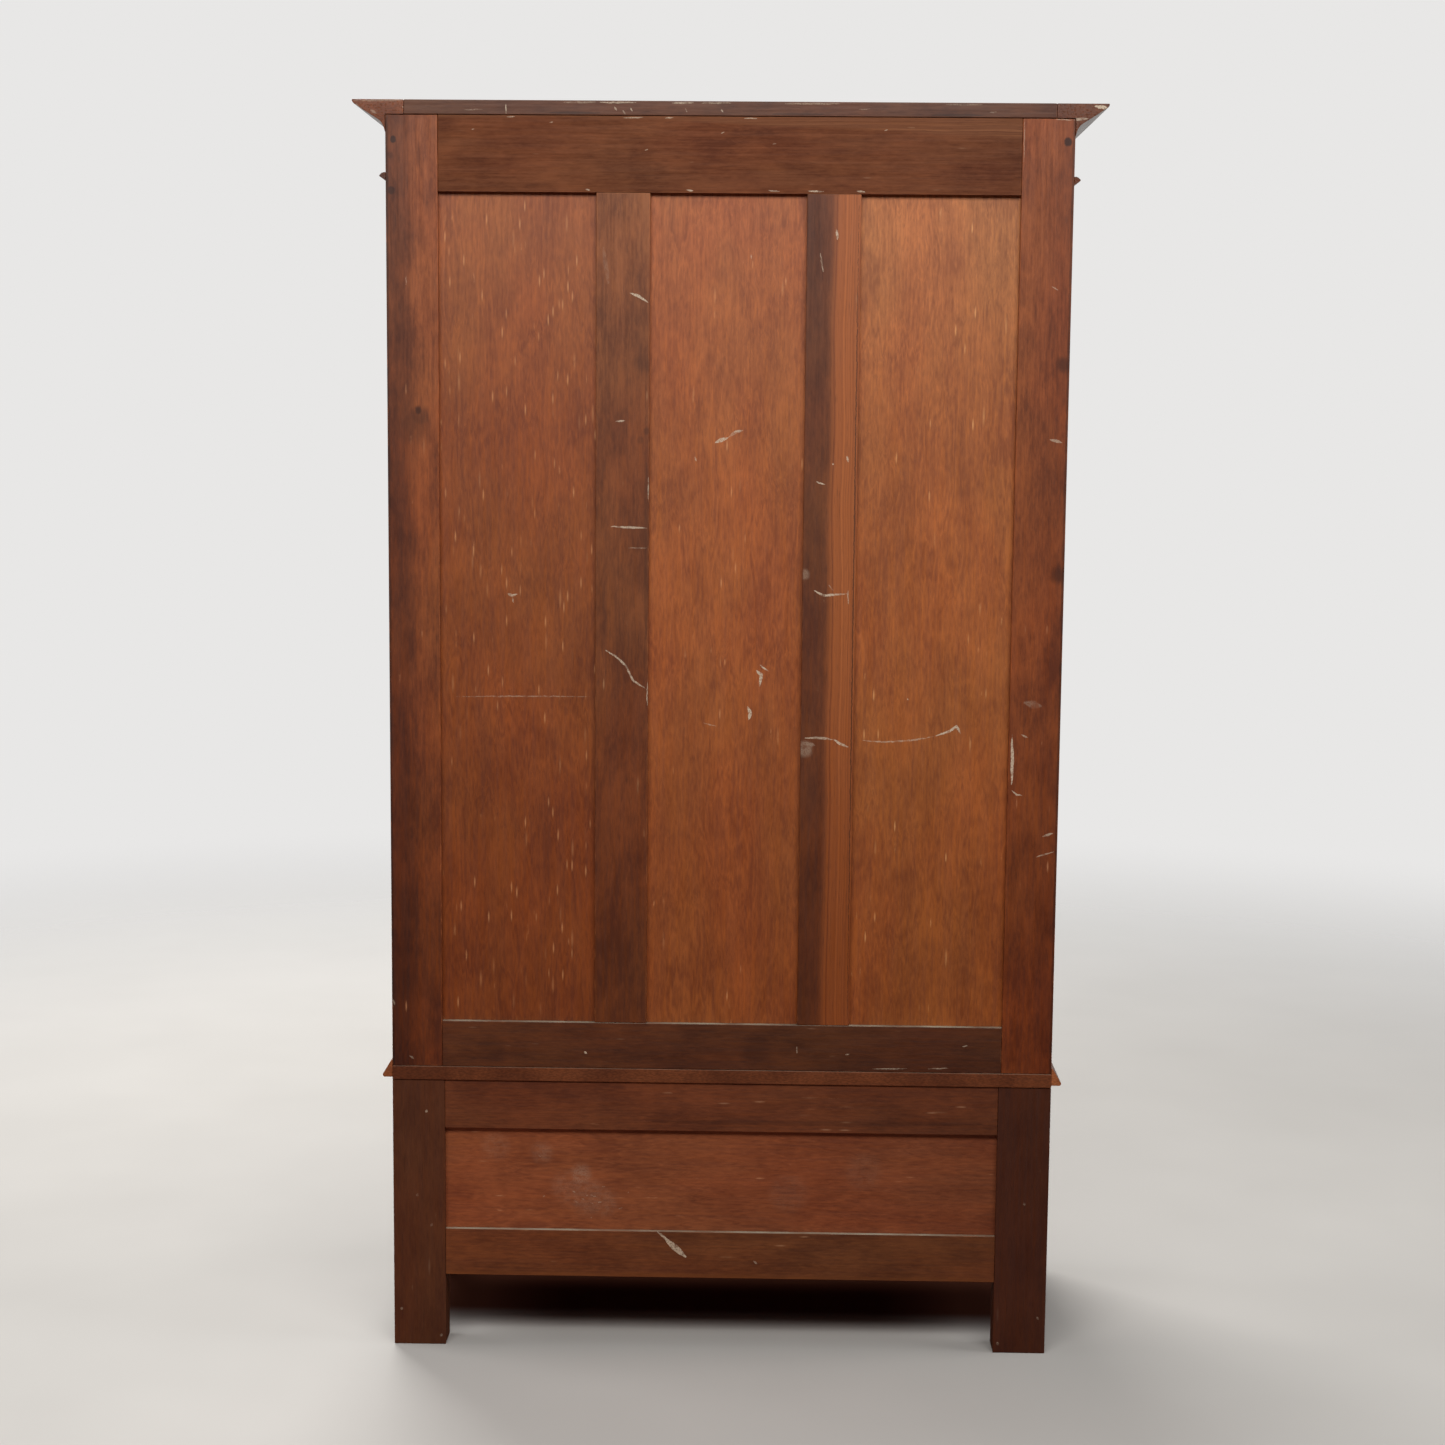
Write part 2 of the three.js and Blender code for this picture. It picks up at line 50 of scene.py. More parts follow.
slots = {part["node"]: part["material_slot"] for part in frame["record"]["subparts"]}

X, Y, Z = 0, 1, 2
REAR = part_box("rear_top_rail")[1][Y]  # rear face of the frames
PLY_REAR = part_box("rear_panel_centre")[1][Y]
BASE_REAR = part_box("base_rear_top_rail")[1][Y]
LEG_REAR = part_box("leg_rear_left")[1][Y]
TOP_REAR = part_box("top_board")[1][Y]
CASE_FOOT = 0.42  # the back's case members start above this, its base members below

STRONGER, SOFTER, TAPER = 1.2, 0.8, 0.85  # how a stroke's strength, softness and ends are drawn


def srgb(red, green, blue):
    """Linear colour of an sRGB one given as 0 to 255."""
    def linear(value):
        value /= 255
        return value / 12.92 if value <= 0.04045 else ((value + 0.055) / 1.055) ** 2.4
    return (linear(red), linear(green), linear(blue), 1.0)


# ---- shader building

class Graph:
    """A node tree with short calls. A value may be a socket, a number, a tuple or a Vector."""

    def __init__(self, tree):
        self.tree = tree

    def put(self, socket, value):
        if isinstance(value, bpy.types.NodeSocket):
            self.tree.links.new(value, socket)
        elif value is not None:
            socket.default_value = value

    def add(self, kind, values=(), **settings):
        """A new shader node, such as a Math one, with its inputs' values and its settings."""
        node = self.tree.nodes.new("ShaderNode" + kind)
        for name, setting in settings.items():
            setattr(node, name, setting)
        return self.feed(node, dict(values))

    def feed(self, node, values):
        for key, value in values.items():
            self.put(node.inputs[key], value)
        return node

    def math(self, operation, a, b=None, c=None, clamp=False):
        node = self.add("Math", operation=operation, use_clamp=clamp)
        for socket, value in zip(node.inputs, (a, b, c)):
            self.put(socket, value)
        return node.outputs[0]

    def times(self, a, b):
        return self.math("MULTIPLY", a, b)

    def times_plus(self, a, b, c, clamp=False):
        return self.math("MULTIPLY_ADD", a, b, c, clamp)

    def minus(self, a, b):
        return self.math("SUBTRACT", a, b)

    def vector(self, operation, a, b=None, scale=None):
        node = self.add("VectorMath", operation=operation)
        self.put(node.inputs[0], a)
        self.put(node.inputs[1], b)
        if scale is not None:
            self.put(node.inputs[3], scale)
        return node.outputs["Value" if operation in ("LENGTH", "DOT_PRODUCT", "DISTANCE") else "Vector"]

    def stretch(self, a, b):
        return self.vector("MULTIPLY", a, b)

    def place(self):
        return self.add("TexCoord").outputs["Object"]

    def split(self, value):
        return self.add("SeparateXYZ", {0: value}).outputs

    def join(self, x, y, z):
        return self.add("CombineXYZ", {0: x, 1: y, 2: z}).outputs[0]

    def noise(self, vector, scale=1.0, detail=2.0, roughness=0.5):
        values = {"Vector": vector, "Scale": scale, "Detail": detail, "Roughness": roughness}
        return self.add("TexNoise", values).outputs

    def lines(self, value, detail=3.0, roughness=0.55):
        """Noise along one number."""
        values = {"W": value, "Scale": 1.0, "Detail": detail, "Roughness": roughness}
        return self.add("TexNoise", values, noise_dimensions="1D").outputs[0]

    def span(self, value, low, high, to_low=0.0, to_high=1.0, smooth=True):
        node = self.add("MapRange", interpolation_type="SMOOTHSTEP" if smooth else "LINEAR")
        values = {"Value": value, "From Min": low, "From Max": high, "To Min": to_low, "To Max": to_high}
        return self.feed(node, values).outputs[0]

    def blend(self, share, first, second, mode="MIX"):
        node = self.add("Mix", data_type="RGBA", blend_type=mode)
        return self.feed(node, {"Factor": share, 6: first, 7: second}).outputs[2]

    def shade(self, share, colour, tint):
        """Takes a colour some of the way to its product with a tint."""
        return self.blend(share, colour, self.blend(1.0, colour, (*tint, 1), mode="MULTIPLY"))

    def ragged(self, value, amount, vector, scale, detail=2.0):
        """A number shaken by noise, so that an edge drawn by it isn't straight."""
        return self.times_plus(self.minus(self.noise(vector, scale, detail)[0], 0.5), amount, value)

    def mix(self, share, first, second):
        return self.add("MixShader", {0: share, 1: first.outputs[0], 2: second.outputs[0]})

    def ramp(self, value, *stops):
        node = self.add("ValToRGB", {0: value})
        ends = node.color_ramp.elements
        while len(ends) < len(stops):
            ends.new(0.5)
        for end, (place, colour) in zip(ends, stops):
            end.position = place
            end.color = colour
        return node.outputs[0]

    def group(self, tree, values):
        return self.feed(self.add("Group", node_tree=tree), values).outputs


def new_group(name, vectors, floats, outputs):
    """A node group that takes vectors and numbers and gives numbers, by their labels."""
    tree = bpy.data.node_groups.new(name, "ShaderNodeTree")
    sockets = ((vectors, "INPUT", "Vector"), (floats, "INPUT", "Float"), (outputs, "OUTPUT", "Float"))
    for labels, way, kind in sockets:
        for label in labels:
            tree.interface.new_socket(label, in_out=way, socket_type="NodeSocket" + kind)
    graph = Graph(tree)
    return tree, graph, tree.nodes.new("NodeGroupInput").outputs, tree.nodes.new("NodeGroupOutput")


def make_stroke_group():
    """A mask round the segment from Start to End: 1 inside Width, 0 beyond Width plus Soft.

    Lead and Trail narrow it towards its start and its end.
    """
    vectors, floats = ("Place", "Start", "End"), ("Width", "Soft", "Lead", "Trail")
    tree, g, given, result = new_group("Stroke", vectors, floats, ["Mask"])
    reach = g.vector("SUBTRACT", given["End"], given["Start"])
    away = g.vector("SUBTRACT", given["Place"], given["Start"])
    along = g.vector("DOT_PRODUCT", away, reach)
    share = g.math("DIVIDE", along, g.vector("DOT_PRODUCT", reach, reach), clamp=True)
    nearest = g.vector("SCALE", reach, scale=share)
    distance = g.vector("LENGTH", g.vector("SUBTRACT", away, nearest))
    before = g.times(g.math("POWER", g.minus(1.0, share), 2.0), given["Lead"])
    after = g.times(g.math("POWER", share, 2.0), given["Trail"])
    kept = g.minus(1.0, g.math("ADD", before, after))
    width = g.times(given["Width"], kept)
    reach = g.times_plus(given["Soft"], kept, width)
    g.put(result.inputs[0], g.span(distance, width, reach, 1.0, 0.0))
    return tree


def make_edge_group():
    """Distance along the surface of a box to its nearest edge: the middle one of three distances."""
    tree, g, given, result = new_group("Edge", ("Place", "Low", "High"), (), ["Distance"])
    below = g.split(g.vector("SUBTRACT", given["Place"], given["Low"]))
    above = g.split(g.vector("SUBTRACT", given["High"], given["Place"]))
    a, b, c = (g.math("MINIMUM", below[i], above[i]) for i in range(3))
    small = g.math("MINIMUM", a, b)
    large = g.math("MAXIMUM", a, b)
    g.put(result.inputs[0], g.math("MAXIMUM", small, g.math("MINIMUM", large, c)))
    return tree


def make_grain_group():
    """Sawn wood. Grain holds the place with Z along the board; Pith is where its rings are centred."""
    outputs = ("Ring", "Patch", "Fibre", "Grit", "Pore", "Cloud", "Flame")
    tree, g, given, result = new_group("Sawn grain", ("Grain", "Pith"), ("Rings", "Sway"), outputs)
    place = given["Grain"]
    slow = g.stretch(place, (7.0, 7.0, 1.7))
    sway = g.vector("SUBTRACT", g.noise(slow, detail=2.0)[1], (0.5, 0.5, 0.5))
    bent = g.vector("ADD", place, g.vector("SCALE", sway, scale=given["Sway"]))
    flat = g.stretch(g.vector("SUBTRACT", bent, given["Pith"]), (1.0, 1.0, 0.0))
    g.put(result.inputs["Ring"], g.lines(g.times(g.vector("LENGTH", flat), given["Rings"])))
    # How fine each part is across and along the board, and its noise's detail and roughness.
    textures = {"Patch": (22.0, 10.0, 6.0, 0.6), "Fibre": (300.0, 8.0, 4.0, 0.5),
                "Grit": (260.0, 60.0, 3.0, 0.6), "Pore": (1500.0, 42.0, 1.0, 0.5),
                "Cloud": (9.0, 3.5, 3.0, 0.5)}
    for label, (across, along, detail, roughness) in textures.items():
        stretched = g.stretch(place, (across, across, along))
        g.put(result.inputs[label], g.noise(stretched, detail=detail, roughness=roughness)[0])
    ragged = g.noise(g.stretch(place, (150.0, 150.0, 14.0)), detail=3.0)[0]
    lifted = g.vector("ADD", place, g.join(0.0, 0.0, g.times_plus(ragged, 0.10, -0.05)))
    hills = g.noise(g.stretch(lifted, (8.0, 8.0, 3.2)), detail=2.0)[0]
    g.put(result.inputs["Flame"], g.lines(g.times(hills, 46.0)))
    return tree


STROKE = make_stroke_group()
EDGE = make_edge_group()
GRAIN = make_grain_group()


def blank_material(name):
    material = bpy.data.materials.new(name)
    material.use_nodes = True
    material.node_tree.nodes.clear()
    return material, Graph(material.node_tree)


def new_material(name):
    material, graph = blank_material(name)
    shader = graph.add("BsdfPrincipled")
    output = graph.add("OutputMaterial", {"Surface": shader.outputs[0]})
    return material, graph, shader, output


# ---- wood

def style(rough, specular, coat, figure, mottle, fibre, grit, flame):
    """A surface. The last five weigh the rings, the clouds and the finer grain in the wood's tone."""
    weights = {"Ring": figure, "Patch": mottle, "Fibre": fibre, "Grit": grit, "Flame": flame}
    return {"rough": rough, "specular": specular, "coat": coat, "weights": weights}


# The dry, stained wood of the back and its plywood, and the polished show wood of the front.
DULL = style((0.47, 0.62), 0.54, coat=0.0, figure=0.2, mottle=1.5, fibre=0.5, grit=0.8, flame=0.3)
MATT = style((0.55, 0.7), 0.2, coat=0.0, figure=0.25, mottle=1.3, fibre=0.6, grit=0.7, flame=0.3)
PLY = style((0.44, 0.56), 0.68, coat=0.0, figure=0.12, mottle=1.1, fibre=0.55, grit=0.9, flame=0.65)
POLISH = style((0.24, 0.38), 0.5, coat=0.3, figure=1.4, mottle=1.2, fibre=1.0, grit=0.3, flame=0.3)
WAXED = {**POLISH, "rough": (0.44, 0.58), "specular": 0.35, "coat": 0.0}


def long_axis(low, high):
    sides = [high[i] - low[i] for i in range(3)]
    return sides.index(max(sides))


def masks(g, place, marks, wobble):
    """The strongest of several strokes. Each is (start, end, width, soft, strength, lead, trail)."""
    shaken = g.vector("ADD", place, wobble)
    total = None
    for start, end, width, soft, strength, lead, trail in marks:
        values = {"Place": shaken, "Start": start, "End": end, "Width": width, "Soft": soft}
        values.update(Lead=lead, Trail=trail)
        mask = g.times(g.group(STROKE, values)[0], strength)
        total = mask if total is None else g.math("MAXIMUM", total, mask)
    return total


def wood(name, low, high, colours, finish=DULL, axis=None, pith=None, rings=150.0, sway=0.05,
         flecks=0.0, pale=(), stains=(), seed=0, dust=0.5, wear=0.5, sheen_and_shade=0.0, ends=None, recolour=None):
    """A sawn or sliced board between two corners, with its own grain, flecks, marks, dust and edge wear."""
    material, g, shader, _ = new_material(name)
    draw = random.Random(seed)
    dark, mid, light = colours
    place = g.place()
    axes = g.split(place)
    axis = long_axis(low, high) if axis is None else axis
    others = [i for i in range(3) if i != axis]
    grain = g.join(axes[others[0]], axes[others[1]], axes[axis])
    grain = g.vector("ADD", grain, (0.0, 0.0, draw.uniform(-9, 9)))
    if pith is None:
        pith = (draw.uniform(-0.05, 0.05), draw.choice((-1, 1)) * draw.uniform(0.03, 0.08))
    heart = [(low[i] + high[i]) / 2 + away for i, away in zip(others, pith)]
    parts = g.group(GRAIN, {"Grain": grain, "Pith": (*heart, 0.0), "Rings": rings, "Sway": sway})
    tone = 0.5
    for label, weight in finish["weights"].items():
        tone = g.times_plus(g.minus(parts[label], 0.5), weight, tone)
    colour = g.ramp(tone, (0.2, dark), (0.5, mid), (0.8, light))
    tint = g.blend(g.span(parts["Cloud"], 0.3, 0.7), (0.98, 1.02, 1.02, 1), (1.05, 0.96, 0.92, 1))
    colour = g.blend(1.0, colour, tint, mode="MULTIPLY")
    if recolour:
        colour = recolour(g, place, colour)
    # Painted sheen at the top of the back and painted shade towards its foot.
    if sheen_and_shade:
        colour = add_painted_sheen_and_shade(g, parts["Cloud"], axes[Z], colour, sheen_and_shade)
    pores = g.span(parts["Pore"], 0.60, 0.74)
    colour = g.blend(g.times(pores, 0.4), colour, scaled(dark, 0.4, 0.38, 0.4))
    rough = g.span(parts["Fibre"], 0.3, 0.7, finish["rough"][1], finish["rough"][0])
    height = g.times_plus(pores, -0.7, parts["Fibre"])
    if ends:
        colour, height = add_cut_end(g, place, low, high, colour, height, ends)
    shake = g.vector("SUBTRACT", g.noise(place, 170.0, 3.0)[1], (0.5, 0.5, 0.5))
    wobble = g.vector("SCALE", shake, scale=0.0026)
    if flecks:
        colour = add_flecks(g, grain, parts["Patch"], colour, light, flecks)
    if stains:
        colour = g.blend(masks(g, place, stains, wobble), colour, scaled(dark, 0.22, 0.2, 0.25))
    if pale:
        colour, rough = add_scrapes(g, place, colour, rough, masks(g, place, pale, wobble))
    if wear:
        edge = g.group(EDGE, {"Place": place, "Low": tuple(low), "High": tuple(high)})[0]
        uneven = g.times_plus(g.noise(place, 60.0, 4.0)[0], 0.006, -0.0034)
        rubbed = g.span(g.minus(edge, uneven), 0.0, 0.0013, wear, 0.0)
        colour = g.blend(rubbed, colour, scaled(light, 1.25, 1.3, 1.3))
    if dust:
        colour, rough = add_dust(g, place, colour, rough, dust)
    bump = g.add("Bump", {"Height": height, "Strength": 0.22, "Distance": 0.0006})
    g.feed(shader, {"Base Color": colour, "Roughness": rough, "Normal": bump.outputs[0],
                    "Specular IOR Level": finish["specular"], "Coat Weight": finish["coat"],
                    "Coat Roughness": 0.2})
    return material


def scaled(colour, red, green, blue):
    """A colour with each of its channels multiplied."""
    return (colour[0] * red, colour[1] * green, colour[2] * blue, 1.0)


def add_painted_sheen_and_shade(g, cloud, height, colour, amount):
    """Painted sheen and shade: the top of the back is left greyer as a painted sheen, the wood below it is
    painted yellower, and further down a painted shade darkens it.
    """
    top, middle, foot = 1.72, 1.25, 0.62
    drift = g.times_plus(cloud, 0.16, height)
    colour = g.shade(g.span(drift, top, middle), colour, (1.0, 0.985, 0.87))
    return g.shade(g.times(g.span(drift, middle, foot), amount), colour, (0.74, 0.64, 0.46))


def add_cut_end(g, place, low, high, colour, height, sawn):
    """The sawn, streaked edge that a board of show wood turns to the back, damping its grain there."""
    _, y, z = g.split(place)
    cut = g.span(y, high[Y] - 0.0022, high[Y] - 0.0012)
    streak = g.noise(g.stretch(place, (220.0, 1.0, 700.0)), 1.0, 2.0)[0]
    edge = g.vector("SCALE", g.join(*sawn[:3]), scale=g.span(streak, 0.3, 0.7, 0.7, 1.15))
    blotch = g.span(g.noise(place, 16.0, 4.0)[0], 0.35, 0.65)
    edge = g.shade(blotch, edge, (0.66, 0.62, 0.64))
    # A thin board as wide as the case has a dark lip along its lower edge.
    lipped = high[Z] - low[Z] < 0.045 and high[X] - low[X] > 1
    lip = g.span(z, low[Z] + 0.010, low[Z] + 0.007, 0.0, 0.85 if lipped else 0.0)
    edge = g.blend(lip, edge, srgb(58, 32, 22))
    damped = g.times(height, g.times_plus(cut, -0.85, 1.0))
    return g.blend(cut, colour, edge), damped


def add_scrapes(g, place, colour, rough, mask):
    """Pale scratches and chips, broken up by the grain and rougher than the wood."""
    fine = g.span(g.noise(place, 620.0, 2.0)[0], 0.34, 0.52, 0.3, 1.0)
    coarse = g.span(g.noise(place, 110.0, 3.0)[0], 0.34, 0.52, 0.35, 1.0)
    chalk = g.times(mask, g.times(fine, coarse))
    return g.blend(chalk, colour, srgb(226, 206, 180)), g.times_plus(chalk, 0.3, rough, clamp=True)


def add_dust(g, place, colour, rough, amount):
    """Dust, thicker and thinner in patches, on the faces that look up."""
    upward = g.split(g.add("NewGeometry").outputs["Normal"])[Z]
    thin = g.span(g.noise(place, 14.0, 5.0)[0], 0.3, 0.7, 0.3, 1.0)
    settled = g.times(g.times(g.span(upward, 0.5, 0.95), thin), amount)
    colour = g.blend(settled, colour, srgb(186, 178, 156))
    return colour, g.times_plus(settled, 0.4, rough, clamp=True)


def add_flecks(g, grain, patch, colour, light, amount):
    """Short pale dashes along the grain, in loose clusters: small bright ones and larger faint ones."""
    pale = (light[0] * 1.5 + 0.10, light[1] * 2.0 + 0.10, light[2] * 2.2 + 0.08, 1)
    for wide, tall, share, strength in ((150.0, 24.0, amount, 0.62), (105.0, 15.0, amount * 0.8, 0.32)):
        cells = g.stretch(grain, (wide, wide, tall))
        voronoi = g.add("TexVoronoi", {"Vector": cells, "Scale": 1.0, "Randomness": 1.0})
        chance = g.split(voronoi.outputs["Color"])[X]
        leaning = g.times_plus(g.minus(patch, 0.5), 1.1, chance)
        picked = g.span(leaning, 1.0 - share, 1.06 - share)
        dash = g.span(voronoi.outputs["Distance"], 0.04, 0.27, 1.0, 0.0)
        shown = g.times(g.times(dash, picked), strength)
        colour = g.blend(shown, colour, pale)
    return colour


def tones(red, green, blue, spread=0.3):
    """Dark, middle and light tone round one sRGB colour: the dark one redder, the light one yellower."""
    base = srgb(red, green, blue)

    def shifted(share, hue):
        return scaled(base, share, share * (1 + hue), share * (1 + 1.4 * hue))
    return shifted(1 - spread, -0.10), base, shifted(1 + spread, 0.05)


def stroke(points, width, strength, soft=0.001, y=REAR):
    """A run of straight strokes through (x, z) points on the rear face at y, tapered at both ends."""
    ends = [(x, y, z) for x, z in points]
    last = len(ends) - 2
    strength = min(1.0, strength * STRONGER)
    return [(a, b, width * 0.5, soft * SOFTER, strength, TAPER * (i == 0), TAPER * (i == last))
            for i, (a, b) in enumerate(zip(ends, ends[1:]))]


def strokes(y, *rows):
    """Several strokes on one face. A row is the points, the width, the strength and maybe the softness."""
    return [part for row in rows for part in stroke(*row, y=y)]


def spots(y, *rows):
    """Round marks on one face. A row is x, z, the radius, the strength and the softness."""
    return [((x, y, z - 0.001), (x, y, z + 0.001), radius, soft, strength, 0.0, 0.0)
            for x, z, radius, strength, soft in rows]


def darker_towards(axis, start, end, amount, tint):
    """Darkens a board from start towards end along a ragged line: old oxide and handling on some boards, painted
    sheen on others.
    """
    def recolour(g, place, colour):
        ragged = g.ragged(g.split(place)[axis], 0.03, place, 9.0)
        return g.shade(g.times(g.span(ragged, start, end), amount), colour, tint)
    return recolour


def lapped_edge(edge, inward):
    """The polish of the side laps a few millimetres round on to the rear face."""
    def recolour(g, place, colour):
        ragged = g.ragged(g.split(place)[X], 0.004, place, 40.0, 3.0)
        lap = g.span(ragged, edge + inward * 0.0045, edge + inward * 0.0025)
        return g.shade(g.times(lap, 0.8), colour, (0.42, 0.45, 0.52))
    return recolour


def painted_top_sheen(tint):
    """A member painted paler at the top of the back than below it: a painted sheen."""
    top, foot = 1.62, 1.32
    return darker_towards(Z, top, foot, 1.0, tint)


def base_side(tint, start=0.3):
    """The base darkens towards the cabinet's left."""
    return darker_towards(X, start, -0.42, 1.0, tint)


def chain(*steps):
    def recolour(g, place, colour):
        for step in steps:
            colour = step(g, place, colour)
        return colour
    return recolour


def two_tone(split_high, split_low, other):
    """The sapwood edge of a muntin: beyond a leaning, soft boundary the board takes the other tones."""
    def recolour(g, place, colour):
        x, _, z = g.split(place)
        lean = g.span(z, 0.5, 1.65, split_low, split_high, smooth=False)
        ragged = g.ragged(x, 0.010, place, 5.0)
        past = g.minus(lean, ragged)
        warm = g.span(past, -0.009, 0.007)
        streaks = g.lines(g.times(ragged, 300.0))
        sap = g.ramp(streaks, (0.3, other[0]), (0.5, other[1]), (0.75, other[2]))
        deep = g.times(g.span(past, -0.001, -0.022), g.span(z, 1.35, 1.66, 0.25, 0.8))
        return g.blend(warm, g.shade(deep, colour, (0.62, 0.60, 0.62)), sap)
    return recolour


def top_rail_bands(g, place, colour):
    """A paler, orange band along the top edge that widens to one side, and a purple-dark end."""
    x, _, z = g.split(place)
    edge = g.minus(1.7755, g.span(x, 0.12, -0.40, 0.0, 0.022, smooth=False))
    ragged = g.ragged(z, 0.008, g.stretch(place, (2.0, 1.0, 30.0)), 3.0)
    band = g.times(g.span(g.minus(ragged, edge), -0.002, 0.003), 0.7)
    streaks = g.lines(g.times(ragged, 420.0))
    warm = g.ramp(streaks, (0.3, srgb(112, 66, 42)), (0.7, srgb(150, 96, 62)))
    end = g.times(g.span(x, -0.12, -0.36), 0.35)
    return g.blend(band, g.shade(end, colour, (0.72, 0.78, 0.95)), warm)


def ochre_lower_edge(g, place, colour):
    ragged = g.ragged(g.split(place)[Z], 0.012, g.stretch(place, (3.0, 1.0, 20.0)), 3.0)
    return g.blend(g.times(g.span(ragged, 0.116, 0.108), 0.6), colour, srgb(146, 84, 38))


# Each member of the back has a function of its own name that gives its tones, marks and stains. The marks'
# places are in metres on its rear face, and sides are as seen from the front.
def member(tone, spread, **own):
    return dict(colours=tones(*tone, spread), **own)


def rear_stile_right():
    low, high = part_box("rear_stile_right")
    outer = darker_towards(X, low[X] + 0.024, high[X] - 0.022, 0.9, (0.52, 0.46, 0.44))
    foot = darker_towards(Z, 0.85, 0.50, 0.8, (0.74, 0.70, 0.66))
    knot = ((0.436, 1.371, 0.002, 0.85, 0.006), (0.434, 1.362, 0.006, 0.5, 0.012),
            (0.440, 1.348, 0.010, 0.3, 0.022))
    nails = ((0.469, 1.746, 0.003, 0.95, 0.002), (0.473, 1.724, 0.002, 0.4, 0.003),
             (0.472, 1.676, 0.003, 0.8, 0.003), (0.467, 1.29, 0.004, 0.3, 0.014))
    pale = strokes(REAR,
        ([(0.478, 0.520), (0.476, 0.512)], 0.004, 0.75),
        ([(0.455, 0.437), (0.449, 0.433)], 0.003, 0.5),
        ([(0.452, 1.560), (0.452, 1.545)], 0.0015, 0.3))
    # The top of this stile is painted paler: a painted sheen.
    recolour = chain(outer, lapped_edge(high[X], -1), painted_top_sheen((0.90, 0.84, 0.80)), foot)
    return member((156, 85, 44), 0.38, recolour=recolour, stains=spots(REAR, *knot, *nails), pale=pale)


def rear_stile_left():
    low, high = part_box("rear_stile_left")
    outer = darker_towards(X, high[X] - 0.030, low[X] + 0.012, 0.6, (0.68, 0.60, 0.60))
    stains = spots(REAR, (-0.470, 1.748, 0.0035, 0.95, 0.003), (-0.471, 1.442, 0.004, 0.6, 0.010),
                   (-0.471, 1.147, 0.004, 0.6, 0.012))
    pale = strokes(REAR,
        ([(-0.4115, 0.918), (-0.4125, 0.88), (-0.4125, 0.846)], 0.0035, 0.95),
        ([(-0.409, 1.780), (-0.4095, 1.72)], 0.0014, 0.3),
        ([(-0.410, 1.7795), (-0.428, 1.7795)], 0.0016, 0.4),
        ([(-0.452, 1.7785), (-0.478, 1.7775)], 0.0022, 0.45),
        ([(-0.425, 0.919), (-0.433, 0.915)], 0.004, 0.8),
        ([(-0.413, 0.838), (-0.420, 0.832), (-0.428, 0.831)], 0.0016, 0.7),
        ([(-0.458, 0.772), (-0.474, 0.777)], 0.004, 0.7, 0.002),
        ([(-0.450, 0.742), (-0.475, 0.750)], 0.0025, 0.55),
        ([(-0.455, 1.338), (-0.472, 1.334)], 0.005, 0.45, 0.003),
        ([(-0.428, 0.965), (-0.452, 0.960)], 0.010, 0.18, 0.008),
        ([(-0.452, 1.55), (-0.462, 1.545)], 0.002, 0.4))
    return member((148, 77, 38), 0.36, finish={**DULL, "specular": 0.46},
                  recolour=chain(outer, lapped_edge(low[X], 1)), stains=stains, pale=pale)


def rear_top_rail():
    nicks = ((0.250, 1.770), (0.118, 1.733), (0.012, 1.757), (-0.06, 1.742), (-0.215, 1.762), (0.36, 1.760))
    lower_edge = ((0.060, 0.010), (-0.055, 0.016), (-0.110, 0.022), (-0.178, 0.012), (0.20, 0.006))
    upper_edge = ((0.31, 0.012), (0.150, 0.030), (0.09, 0.012), (-0.02, 0.018))
    rows = [([(x, z), (x - 0.005, z + 0.001)], 0.002, 0.45) for x, z in nicks]
    rows += [([(x, 1.679), (x - length, 1.678)], 0.003, 0.75) for x, length in lower_edge]
    rows += [([(x, 1.777), (x - length, 1.7775)], 0.0022, 0.55) for x, length in upper_edge]
    return member((116, 65, 37), 0.32, finish=MATT, recolour=top_rail_bands, pale=strokes(REAR, *rows))


def rear_bottom_rail():
    dents = ((-0.22, 0.4265, 0.05), (-0.30, 0.428, 0.03), (-0.18, 0.447, 0.006), (-0.35, 0.462, 0.008))
    pale = strokes(REAR,
        ([(0.200, 0.446), (0.196, 0.444)], 0.005, 0.9),
        ([(-0.110, 0.458), (-0.110, 0.448)], 0.003, 0.7),
        *[([(x, z), (x - length, z + 0.001)], 0.002, 0.5) for x, z, length in dents])
    stains = spots(REAR, (0.333, 0.447, 0.008, 0.3, 0.02), (-0.05, 0.45, 0.01, 0.3, 0.02))
    recolour = darker_towards(X, 0.25, -0.35, 0.6, (0.62, 0.58, 0.56))
    return member((116, 67, 43), 0.34, recolour=recolour, pale=pale, stains=stains)


def rear_muntin_right():
    pale = strokes(REAR,
        ([(0.137, 1.537), (0.126, 1.533), (0.112, 1.524)], 0.003, 0.8),
        ([(0.157, 1.3585), (0.143, 1.359)], 0.0032, 0.95),
        ([(0.163, 1.210), (0.112, 1.208)], 0.0045, 0.7),
        ([(0.139, 1.180), (0.113, 1.180)], 0.002, 0.35),
        ([(0.171, 1.034), (0.157, 1.026), (0.142, 1.013), (0.130, 0.990), (0.111, 0.978)], 0.0016, 0.75),
        ([(0.1105, 1.280), (0.1105, 1.246)], 0.0022, 0.6),
        ([(0.175, 1.60), (0.168, 1.55)], 0.006, 0.09, 0.006),
        ([(0.1105, 0.99), (0.1105, 0.955)], 0.002, 0.6))
    stains = strokes(REAR, ([(0.113, 1.30), (0.111, 1.20), (0.113, 1.05)], 0.004, 0.3, 0.008))
    stains += spots(REAR, (0.118, 1.44, 0.004, 0.3, 0.014), (0.113, 1.345, 0.002, 0.4, 0.004),
                    (0.122, 1.332, 0.002, 0.3, 0.004))
    # The top of this muntin is painted paler: a painted sheen.
    return member((143, 83, 44), 0.34, recolour=painted_top_sheen((0.83, 0.72, 0.68)), pale=pale, stains=stains)


